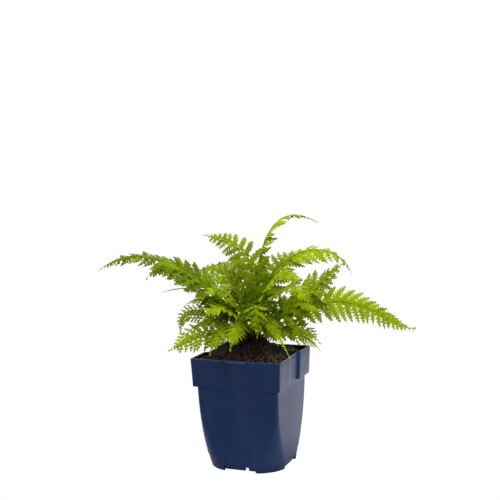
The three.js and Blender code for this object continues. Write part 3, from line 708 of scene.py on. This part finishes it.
def leaf_material():
    n = Nodes("fern_leaf")
    tone, place = n.tone(), n.parts(n.add("UVMap", uv_map="place").outputs[0])
    off = n.math("ABSOLUTE", n.math("SUBTRACT", place[1], 0.5))
    # Side veins run forward from the midrib.
    stripe = n.math("SUBTRACT", n.times(place[0], SIDE_VEINS), n.times(off, VEIN_SLANT))
    side_vein = n.range(n.math("PINGPONG", stripe, 0.5), 0.0, 0.12, 1.0, 0.0)
    midrib = n.range(off, 0.0, 0.05, 1.0, 0.0)
    vein = n.math("MAXIMUM", n.times(side_vein, 0.5), midrib)
    blotch, fine = n.noise(90, 3), n.noise(700, 2)
    green = n.ramp(tone[0], LEAF_GREENS)
    # Painted shade: leaves deeper inside the plant are mixed towards a darker green.
    for share, colour in ((n.times(n.range(blotch, 0.35, 0.7, 0.0, 0.5), tone[0]), BLOTCH_GREEN),
                          (n.times(tone[1], 0.35), TIP_GREEN), (n.times(tone[2], 0.25), INNER_SHADE_GREEN),
                          (n.times(vein, 0.25), VEIN_GREEN),
                          (n.range(fine, 0.3, 0.7, 0.0, 0.25), SPECK_GREEN)):
        green = n.mix(share, green, colour)
    normal = n.bump(n.math("ADD", n.times(vein, -0.6), n.times(fine, 0.5)), 0.5, 0.0002)
    n.surface(Base_Color=green, Roughness=n.range(blotch, 0.3, 0.7, 0.38, 0.55), Normal=normal,
              Specular_IOR_Level=LEAF_GLOSS)
    # Thin leaves let light through, which comes out brighter.
    glow = n.mix(0.35, green, LIT_GREEN)
    n.blend_output(0.36, n.add("BsdfTranslucent", {"Color": glow, "Normal": normal}))
    return n.owner


def stem_material():
    n = Nodes("fern_stem")
    streak = n.noise(260, 3, Vector=n.object_place((1, 1, 0.2)))
    green = n.ramp(n.tone()[1], STEM_COLOURS)
    green = n.mix(n.range(streak, 0.35, 0.7, 0.0, 0.4), green, (0.13, 0.18, 0.002))
    n.surface(Base_Color=green, Roughness=n.range(streak, 0.3, 0.7, 0.42, 0.6),
              Normal=n.bump(streak, 0.5, 0.0003), Specular_IOR_Level=LEAF_GLOSS)
    n.blend_output(0.3, n.add("BsdfTranslucent", {"Color": green}))
    return n.owner


def brown_material(name, browns, scale, detail, dark_share, dark, roughness, strength):
    """Dead plant matter, with darker streaks."""
    n = Nodes(name)
    streak = n.noise(scale, detail)
    brown = n.mix(n.range(streak, 0.4, 0.7, 0.0, dark_share), n.ramp(n.tone()[0], browns), dark)
    n.surface(Base_Color=brown, Roughness=roughness, Normal=n.bump(streak, strength, 0.0002))
    return n.owner


def soil_material():
    n = Nodes("potting_soil")
    coarse, middle, fine = n.noise(70, 5, 0.6), n.noise(260, 4, 0.65), n.noise(1400, 3, 0.7)
    colour = n.ramp(coarse, SOIL_BROWNS)
    colour = n.mix(n.range(middle, 0.5, 0.72, 0.0, 0.6), colour, (0.040, 0.018, 0.008))
    colour = n.mix(n.range(fine, 0.55, 0.75, 0.0, 0.5), colour, (0.05, 0.036, 0.022))
    height = n.math("ADD", middle, n.times(fine, 0.5))
    n.surface(Base_Color=colour, Roughness=n.range(middle, 0.3, 0.7, 0.75, 1.0),
              Normal=n.bump(height, 0.9, 0.0012), Specular_IOR_Level=SOIL_GLOSS)
    return n.owner


def pot_material(name, dark_inside=False, lip_highlight=False):
    """Blue plastic; on the inside, it is coated near-black up to just below the edge, and on the lip, it is
    paler as a painted highlight.
    """
    n = Nodes(name)
    where = n.object_place()
    cloud, grain = n.noise(22, 3, Vector=where), n.noise(1500, 2, Vector=where)
    brushed = n.noise(60, 4, Vector=n.object_place((1, 1, 0.12)))
    height = n.parts(where)[2]
    colour = n.mix(n.range(cloud, 0.35, 0.65), *POT_BLUES)
    dust = n.times(n.range(brushed, 0.52, 0.75, 0.0, 0.16), n.range(height, 0.0, 0.05, 1.0, 0.35))
    colour = n.mix(dust, colour, DUST)
    if lip_highlight:
        # Painted highlight: the lip's faces are made paler and more purple, unevenly.
        colour = n.mix(n.range(grain, 0.3, 0.7, 0.5, 0.8), colour, LIP_HIGHLIGHT_BLUE)
    # Painted highlight: the top edge of the rim is mixed towards a pale grey.
    colour = n.mix(n.range(height, (POT_HEIGHT - 0.7) * MM, POT_HEIGHT * MM, 0.0, 0.55), colour, RIM_HIGHLIGHT_GREY)
    if dark_inside:
        # The inner faces are coated near-black and rough up to about the rim.
        edge = n.math("ADD", height, n.times(n.noise(180, 4, Vector=where), 0.004))
        coat = n.range(edge, POT_HEIGHT * MM, (POT_HEIGHT + 1.6) * MM, 0.94, 0.1)
        colour, roughness = n.mix(coat, colour, INSIDE_NEAR_BLACK), n.range(coat, 0.0, 1.0, 0.35, 0.95)
    else:
        roughness = n.range(brushed, 0.3, 0.7, 0.26, 0.36)
    bumps = n.math("ADD", n.times(grain, 0.4), cloud)
    n.surface(Base_Color=colour, Roughness=roughness, Normal=n.bump(bumps, 0.12, 0.0008), IOR=PLASTIC_IOR)
    return n.owner


# ---- pot ----

POT_HEIGHT, COLLAR_FOOT, STEP_IN = 132, 99, 98.7
BODY_HEIGHTS = (16.4, 20, 26, 32, 38, 45, 52, 60, 68, 76, 84, 91)
COLLAR_HALF, BODY_HALF = (53.5, 55), (47, 49.85)
COLLAR_CORNER, BODY_CORNER, CORNER_BEND = 1.6, (3.3, 35.6), 2.33
WALL, BASE_STEP, BASE_INSET = 1.6, 15, 0.5
PANEL_HALF, PANEL_FLANK, PANEL_DEPTH = 16, 1.5, 2.8
PANEL = COLLAR_HALF[1] - PANEL_DEPTH
SCOOP_HALF, SCOOP_FOOT, LIP_THICKNESS, LIP_TOP = 13, POT_HEIGHT - 3.6, 0.8, POT_HEIGHT - 0.6
LIP = PANEL - WALL + LIP_THICKNESS
FOOT_RING, UNDERSIDE, FLOOR, OUTSIDE = 3.2, 6.5, 8.6, -60
# Cuts in each side, as ranges of x, y and z.
SCOOP = (-SCOOP_HALF, SCOOP_HALF), (OUTSIDE, -LIP), (SCOOP_FOOT, POT_HEIGHT + 2)
SCOOP_MOUTH = (-SCOOP_HALF, SCOOP_HALF), (OUTSIDE - 1, -PANEL + WALL + 2), (LIP_TOP, POT_HEIGHT + 3)
RAISED_EDGE = (-19.4, 19.6), (OUTSIDE, -25), (-2, 2.1)
DRAIN_NOTCH = (6.8, 11.2), (OUTSIDE, -38), (-3, 6.4)
RECESS, RECESS_DEPTH = (-19, 19.2, 5.8), 1.5
HOLE_PLACE, HOLE_RADIUS, HOLE_SIDES = (22, 22), 4, 24
# Half of the bead's path, from the panel's edge to the middle of the scoop.
BEAD = [(14.2, 131.3), (13.8, 129.4), (12.9, 128.1), (11.5, 127.5), (9, 127.3)]
BEAD_RADIUS, EDGE_RADIUS = 0.9, 0.35
CORNER_STEPS, SIDE_STEPS, PANEL_STEPS = 14, 6, 5


def square_ring(z, half, corner, panel_depth, inset):
    """The pot's outline at one height, from the middle of the front, counter-clockwise."""
    reach = half - inset
    radius = max(corner - inset, 0.4)
    scale = min(1, (reach - radius - 1) / PANEL_HALF)
    flank_in, flank_out = (PANEL_HALF - PANEL_FLANK) * scale, PANEL_HALF * scale
    corner_from = reach - radius
    flat = np.linspace(flank_out, corner_from, SIDE_STEPS + 1)
    side = [(reach, -along, z) for along in flat[::-1]]
    side += [(reach - panel_depth, along, z) for along in np.linspace(-flank_in, flank_in, PANEL_STEPS + 1)]
    side += [(reach, along, z) for along in flat[:-1]]
    for step in range(CORNER_STEPS):
        angle = step / CORNER_STEPS * pi / 2
        side.append((corner_from + radius * cos(angle), corner_from + radius * sin(angle), z))
    return np.concatenate([spun(np.array(side), -pi / 2 + quarter * pi / 2) for quarter in range(4)])


def body_ring(z, inset):
    share = min(max(z / COLLAR_FOOT, 0), 1)
    corner = lerp(BODY_CORNER, (1 - share) ** CORNER_BEND)
    return square_ring(z, lerp(BODY_HALF, share), corner, 0, inset)


def collar_ring(z, inset):
    share = (z - COLLAR_FOOT) / (POT_HEIGHT - COLLAR_FOOT)
    return square_ring(z, lerp(COLLAR_HALF, share), COLLAR_CORNER, PANEL_DEPTH, inset)


def box_form(x, y, z):
    """A box over ranges of x, y and z."""
    points = [(x[i], y[j], z[k]) for k in (0, 1) for i, j in ((0, 0), (1, 0), (1, 1), (0, 1))]
    faces = [(3, 2, 1, 0), (4, 5, 6, 7), (0, 1, 5, 4), (1, 2, 6, 5), (2, 3, 7, 6), (3, 0, 4, 7)]
    return np.array(points, float), faces


def recess_form():
    """The shallow recess in the foot: its back follows the wall, RECESS_DEPTH deep."""
    first, last, height = RECESS
    sections = []
    for x in np.linspace(first, last, 9):
        section = []
        for z in (-1, height):
            ring = body_ring(z, BASE_INSET + RECESS_DEPTH)
            front = ring[ring[:, 1] < 0]
            front = front[np.argsort(front[:, 0])]
            section.append((x, float(np.interp(x, front[:, 0], front[:, 1])), z))
        sections.append(section + [(x, OUTSIDE, height), (x, OUTSIDE, -1)])
    return np.concatenate(sections), tube_faces(len(sections), 4)


def bead_form():
    """The rounded edge that dips round the scoop in the middle of a collar side."""
    lean = (COLLAR_HALF[1] - COLLAR_HALF[0]) / (POT_HEIGHT - COLLAR_FOOT)
    path = [(-x, z) for x, z in BEAD] + BEAD[::-1]
    centres = [(x, -PANEL + lean * (POT_HEIGHT - z) + 0.1, z) for x, z in path]
    return tube(centres, [BEAD_RADIUS] * len(centres), 10)


def apply_modifiers(piece):
    made = bpy.data.meshes.new_from_object(piece.evaluated_get(bpy.context.evaluated_depsgraph_get()))
    piece.modifiers.clear()
    piece.data = made


def combine(piece, form, operation="DIFFERENCE"):
    """Cuts a closed form, (points, faces), out of each side of a piece, or joins it to them."""
    points, faces = form
    shape = Shape()
    for quarter in range(4):
        shape.add(spun(points, quarter * pi / 2), faces)
    other = shape.make("other", [])
    boolean = piece.modifiers.new("combine", "BOOLEAN")
    boolean.operation, boolean.solver, boolean.object = operation, "EXACT", other
    apply_modifiers(piece)
    bpy.data.objects.remove(other)


def make_pot(materials):
    foot = BASE_INSET + FOOT_RING
    rings = [body_ring(UNDERSIDE, foot), body_ring(0, foot)]
    rings += [body_ring(z, BASE_INSET) for z in (0, 5, 10, BASE_STEP)]
    rings += [body_ring(z, 0) for z in (BASE_STEP + 0.4, *BODY_HEIGHTS, STEP_IN)]
    rings += [collar_ring(z, 0) for z in (COLLAR_FOOT, 110, 121, POT_HEIGHT)]
    rings += [collar_ring(z, WALL) for z in (POT_HEIGHT, 116, COLLAR_FOOT + WALL)]
    rings += [body_ring(z, WALL) for z in (STEP_IN, 75, 52, 32)]
    rings.append(body_ring(FLOOR, WALL + BASE_INSET))
    shape = Shape()
    shape.add(*loft(rings))
    piece = shape.make("pot_shell", materials)
    combine(piece, box_form(*SCOOP))
    combine(piece, box_form(*SCOOP_MOUTH))
    bevel = piece.modifiers.new("edges", "BEVEL")
    bevel.width, bevel.segments, bevel.limit_method = EDGE_RADIUS * MM, 2, "ANGLE"
    bevel.angle_limit = radians(28)
    apply_modifiers(piece)
    hole = tube([(*HOLE_PLACE, UNDERSIDE - 3), (*HOLE_PLACE, FLOOR + 3)], [HOLE_RADIUS] * 2, HOLE_SIDES,
                hint=outward(0))
    for form in (box_form(*RAISED_EDGE), box_form(*DRAIN_NOTCH), recess_form(), hole):
        combine(piece, form)
    combine(piece, bead_form(), "UNION")
    # The inside gets the near-black coat, and the thin lip over each scoop gets the paler painted
    # highlight.
    for face in piece.data.polygons:
        x, y, z = face.center / MM
        out = face.normal.x * x + face.normal.y * y
        if out < -10 and z > FLOOR:
            face.material_index = 1
        along, reach = sorted((abs(x), abs(y)))
        if out > 10 and along < SCOOP_HALF and abs(reach - LIP) < 0.2 and z > SCOOP_FOOT:
            face.material_index = 2
    piece.data.shade_smooth()
    piece.data.set_sharp_from_angle(angle=radians(35))
    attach(piece, "root")
    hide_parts("pot")


# ---- soil ----

GAP, SOIL_EDGE, SOIL_MOUND, SOIL_SLOPE, SOIL_LUMP = 0.3, 127, 14, 8, 0.9
SOIL_SEED = Vector((3.1, 7.7, 1.9))
SOIL_INSET, SOIL_MOUTH, HIDDEN_MOUTH, SOIL_STEPS = WALL + GAP, CROWN_RADIUS + 0.5, CROWN_RADIUS - 4, 46
SOIL_RING = collar_ring(SOIL_EDGE, SOIL_INSET)
EDGE_ANGLES, EDGE_REACHES = np.array(sorted((atan2(y, x), hypot(x, y)) for x, y, _ in SOIL_RING)).T
CRUMBS, CHIPS = 230, 150
# Fibres: those that run out from the crown, those that lie all over, and those that stand up.
CROWN_FIBRES, FLAT_FIBRES, LOOSE_FIBRES, FIBRE_STEPS, FIBRE_LIMIT = 120, 210, 100, 8, 49.5


def soil_at(x, y):
    """Height of the finished surface over a point: a lumpy mound with crumbs, level at its edge."""
    limit = float(np.interp(atan2(y, x), EDGE_ANGLES, EDGE_REACHES))
    share = min(1, max(0, (hypot(x, y) - SOIL_MOUTH) / (limit - SOIL_MOUTH)))
    lumps = sin(x * 0.21 + 1.3) * cos(y * 0.17 - 0.6) + 0.6 * sin(x * 0.09 - y * 0.13)
    at = Vector((x, y, 0)) + SOIL_SEED
    crumbs = (0.9 * noise.noise(at * 0.22) + 0.75 * noise.noise(at * 0.55)
              + 0.5 * abs(noise.noise(at * 1.3)) + 0.22 * noise.noise(at * 2.9))
    mound = SOIL_EDGE + SOIL_MOUND * (1 - share) ** 1.15 + SOIL_LUMP * lumps
    return mound + crumbs * min(1, (1 - share) * 9)


def lump(ball, swelling, fineness, offset, stretch, size, turn):
    """A ball swollen by noise, stretched and turned."""
    swell = np.array([1 + swelling * noise.noise(Vector(point) * fineness + offset) for point in ball])
    return spun(ball * swell[:, None] * stretch * size, turn)


def add_crumbs(shape, rng):
    """Crumbs of soil all over, and paler chips along the front and the right."""
    draw = rng.uniform
    form = bmesh.new()
    bmesh.ops.create_icosphere(form, subdivisions=2, radius=1)
    ball = np.array([corner.co[:] for corner in form.verts])
    faces = [tuple(corner.index for corner in face.verts) for face in form.faces]
    form.free()
    for _ in range(CRUMBS):
        x, y = draw(-49, 49), draw(-49, 49)
        if hypot(x, y) < CROWN_RADIUS - 2:
            continue
        size = draw(0.7, 2.1) * draw(0.6, 1)
        offset = Vector((draw(0, 90), draw(0, 90), 0))
        stretch = (draw(0.7, 1.5), draw(0.7, 1.3), draw(0.5, 0.9))
        points = lump(ball, 0.45, 1.6, offset, stretch, size, draw(0, 2 * pi))
        shape.add(points + (x, y, soil_at(x, y) + size * 0.15), faces, 0)
    for _ in range(CHIPS):
        x, y = draw(-48, 48), draw(-49, -34)
        if rng.random() < 0.35:
            x, y = -y, x
        size, turn = draw(0.45, 1.1), draw(0, 2 * pi)
        stretch = (draw(1.0, 2.2), draw(0.6, 1.0), 0.5)
        points = lump(ball, 0.35, 1.4, Vector((x, y, 0)), stretch, size, turn)
        tone = (rng.choice((0.6, 0.8, 0.9, 1.0)), 0.5, 0.5)
        shape.add(points + (x, y, soil_at(x, y) + 0.4 + size * 0.4), faces, 1, None, tone)


def add_fibres(shape, rng):
    """Roots and peat fibres that lie over the soil, some with an end in the air."""
    draw = rng.uniform
    for i in range(CROWN_FIBRES + FLAT_FIBRES + LOOSE_FIBRES):
        pale = rng.random()
        lift = draw(0.0, 1.0) ** 3 * 5.5
        if i < CROWN_FIBRES:
            angle = draw(0, 2 * pi)
            x, y, _ = outward(angle) * 20
            turn, tone, length = angle + draw(-0.6, 0.6), draw(0, 0.45), draw(12, 26)
        elif i < CROWN_FIBRES + FLAT_FIBRES:
            x, y = draw(-46, 46), draw(-47, 46)
            turn, tone, length = draw(0, 2 * pi), 0.3 + 0.7 * pale ** 1.5, draw(5, 19)
        else:
            x, y = draw(-46, 46), draw(-47, -24)
            turn, tone, length = draw(0, 2 * pi), 0.25 + 0.65 * pale, draw(7, 16)
            lift = draw(2.5, 8.0)
        curl, radius = draw(-0.16, 0.16), draw(0.11, 0.26)
        centres = []
        for step in range(FIBRE_STEPS + 1):
            if max(abs(x), abs(y)) > FIBRE_LIMIT:
                break
            rise = lift * (step / FIBRE_STEPS) ** 1.7 + 0.5 * sin(step * 1.7 + i)
            centres.append((x, y, soil_at(x, y) + 0.25 + rise))
            turn += curl + draw(-0.2, 0.2)
            x += cos(turn) * length / FIBRE_STEPS
            y += sin(turn) * length / FIBRE_STEPS
        if len(centres) < 4:
            continue
        radii = [radius * (1 - 0.6 * abs(2 * k / (len(centres) - 1) - 1) ** 2) for k in range(len(centres))]
        shape.add(*tube(centres, radii, 4), 1, None, (tone, 0.5, 0.5))


def make_soil(materials):
    rings = [body_ring(FLOOR + GAP, SOIL_INSET + BASE_INSET)]
    rings += [body_ring(z, SOIL_INSET) for z in (32, 75, STEP_IN)]
    rings += [collar_ring(COLLAR_FOOT + SOIL_SLOPE, SOIL_INSET), SOIL_RING]
    outer = SOIL_RING[:, :2]
    inner = outer * (HIDDEN_MOUTH / np.hypot(*outer.T))[:, None]
    for step in range(1, SOIL_STEPS + 1):
        ring = inner + (outer - inner) * (1 - step / SOIL_STEPS)
        rings.append(np.array([(x, y, soil_at(x, y)) for x, y in ring]))
    shape = Shape()
    shape.add(*loft(rings))
    rng = random.Random(5)
    add_crumbs(shape, rng)
    add_fibres(shape, rng)
    piece = shape.make("soil_surface", materials, sharp_over=60)
    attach(piece, "root")
    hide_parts("soil")


# ---- crown ----

CORE_INSET, CORE_SIDES, CORE_ROWS, CORE_UPRIGHT = 1.2, 40, 14, 0.4
STUBS, CROWN_SCALES = 110, 420
GOLDEN_ANGLE = 2.39996
STUB_RADII = (1.1, 1.05, 0.95, 0.85, 0.55)


def crown_core():
    """Rough rings: upright at first, then closing over the top."""
    rings = []
    widest = CROWN_RADIUS - CORE_INSET
    for row in range(CORE_ROWS):
        share = row / (CORE_ROWS - 1)
        if share < CORE_UPRIGHT:
            radius, z = widest, CROWN_FOOT + (CROWN_SHOULDER - CROWN_FOOT) * share / CORE_UPRIGHT
        else:
            radius = widest * cos((share - CORE_UPRIGHT) / 0.6 * pi / 2 * 0.93)
            z = crown_height(radius * CROWN_RADIUS / widest) - 0.8
        ring = []
        for i in range(CORE_SIDES):
            out = outward(i / CORE_SIDES * 2 * pi)
            rough = 0.9 * noise.noise(Vector(out * 4 + UP * z * 0.35))
            ring.append(out * (radius + rough) + UP * (z + rough * 0.6))
        rings.append(np.array(ring))
    return rings


def make_crown(materials):
    """The knob of old leaf bases: a rough core, cut stubs and brown scales."""
    shape = Shape()
    shape.add(*loft(crown_core()), 1, None, (0.08, 0.5, 0.5))
    rng = random.Random(11)
    draw = rng.uniform
    for i in range(STUBS):
        out = outward(i * GOLDEN_ANGLE + draw(-0.2, 0.2))
        radius = CROWN_RADIUS * sqrt((i + 0.5) / STUBS) * 0.98
        foot = out * (radius - 1.5) + UP * (crown_height(radius) - 2.2)
        lean = radians(lerp((86, 28), radius / CROWN_RADIUS) + draw(-10, 10))
        way = out * cos(lean) + UP * sin(lean)
        length = draw(3.5, 6.5)
        bend = np.array([draw(-1, 1), draw(-1, 1), draw(0, 1)]) * 0.7
        centres = [foot + way * length * k / 4 + bend * (k / 4) ** 2 for k in range(5)]
        size = draw(0.9, 1.5)
        points, faces = tube(centres, [size * radius for radius in STUB_RADII], 7, squash=draw(0.7, 1))
        shape.add(points, faces, 0, None, (draw(0, 0.35), 0.5, 0.5))
    for _ in range(CROWN_SCALES):
        out, radius = outward(draw(0, 2 * pi)), CROWN_RADIUS * sqrt(rng.random())
        foot = out * radius * 0.97 + UP * (crown_height(radius) - 0.4)
        lean = radians(lerp((88, 20), radius / CROWN_RADIUS) + draw(-25, 25))
        spin = out + np.array([-out[1], out[0], 0]) * draw(-0.7, 0.7)
        way = unit(unit(spin) * cos(lean) + UP * sin(lean))
        normal = unit(np.cross(way, np.cross(UP + out * 0.2, way)) + 1e-6)
        add_scale(shape, foot, way, normal, draw(2.5, 5.5), 0.15, rng.random() ** 1.5, -0.5, 0)
    piece = shape.make("crown_bases", materials, sharp_over=60)
    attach(piece, "root")
    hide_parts("crown")


# ---- floor and light ----

FLOOR_LEVEL, FLOOR_SIDES, FLOOR_RADIUS = -0.1, 64, 6000
# The way from the pot to the darker side of the studio, in front of it.
DARK_SIDE = (-0.08, -0.99, -0.12)
# name, place and target in metres, size, power
LIGHTS = [
    ("top", (0.1, 0.1, 1.6), (0, 0, 0.15), (0.6, 0.6), 20),
    ("right", (1.5, 0.5, 0.8), (0, 0, 0.15), (1.0, 1.2), 3.5),
    ("left", (-1.3, -0.5, 1.1), (0, 0, 0.2), (0.9, 0.9), 5.5),
]


def floor_material():
    n = Nodes("pale_floor")
    where, camera = n.object_place(), n.add("LightPath").outputs["Is Camera Ray"]
    pale = n.mix(n.range(n.noise(3, 2), 0.3, 0.7), (0.66, 0.66, 0.66), (0.70, 0.70, 0.70))
    # In front of the pot a dark cloth keeps light off its face, outside the picture's white.
    ahead = n.add("VectorMath", {0: where, 1: (*DARK_SIDE[:2], 0)}, operation="DOT_PRODUCT")
    cloth = n.times(n.range(ahead.outputs["Value"], 0.045, 0.12), n.math("SUBTRACT", 1.0, camera))
    n.surface(Base_Color=n.mix(cloth, pale, (0.24, 0.24, 0.24)), Roughness=0.9, Specular_IOR_Level=0.1)
    # The floor runs into the white of the studio, from under the pot's edge outwards.
    away = n.add("VectorMath", {0: where}, operation="LENGTH").outputs["Value"]
    white = n.add("Emission", {"Color": (1, 1, 1, 1), "Strength": 1.0})
    n.blend_output(n.times(n.range(away, 0.020, 0.034), camera), white)
    return n.owner


def make_floor():
    shape = Shape()
    rim = [outward(angle) * FLOOR_RADIUS + UP * FLOOR_LEVEL for angle in circle(FLOOR_SIDES)]
    shape.add(rim, [tuple(range(FLOOR_SIDES))])
    shape.make("floor", [floor_material()])


def make_light():
    scene.world = bpy.data.worlds.new("studio")
    n = Nodes(scene.world)
    where = n.add("TexCoord").outputs["Generated"]
    ahead = n.add("VectorMath", {0: where, 1: DARK_SIDE}, operation="DOT_PRODUCT").outputs["Value"]
    strength = n.math("MAXIMUM", n.range(ahead, 0.15, 0.75, 1.0, 0.74),
                      n.add("LightPath").outputs["Is Camera Ray"])
    background = n.tree.nodes["Background"]
    n.set(background.inputs["Color"], (1, 1, 1, 1))
    n.set(background.inputs["Strength"], strength)
    for name, place, target, size, power in LIGHTS:
        data = bpy.data.lights.new(name, "AREA")
        data.shape, data.size, data.size_y, data.energy = "RECTANGLE", size[0], size[1], power
        lamp = bpy.data.objects.new(name, data)
        turn = (Vector(target) - Vector(place)).to_track_quat("-Z", "Y").to_matrix()
        lamp.matrix_world = Matrix.Translation(place) @ turn.to_4x4()
        scene.collection.objects.link(lamp)
    scene.view_settings.view_transform = "Standard"
    scene.view_settings.look = "None"
    scene.view_settings.exposure = 0.0


# ---- the plant in its pot ----

make_camera()
make_light()
make_floor()
make_pot([pot_material("blue_plastic"), pot_material("dark_inside_plastic", dark_inside=True),
          pot_material("lip_highlight_plastic", lip_highlight=True)])
fibre = brown_material("soil_fibre", FIBRE_BROWNS, 900, 2, 0.4, (0.02, 0.012, 0.008), 0.75, 0.4)
scale = brown_material("brown_scale", SCALE_BROWNS, 500, 3, 0.5, (0.02, 0.012, 0.007), 0.7, 0.6)
make_soil([soil_material(), fibre])
make_crown([scale, fibre])
leaf, stem = leaf_material(), stem_material()
ribs = [Rib(*map(float, row[1:10])) for row in FRONDS]
space = Space()
for row, rib in zip(FRONDS, ribs):
    space.add([rib.at(share)[0] for share in np.linspace(0, 1, int(rib.length / 2))], row[0])
for index, (row, rib) in enumerate(zip(FRONDS, ribs)):
    make_frond(index, row, rib, space, [leaf, stem, scale])
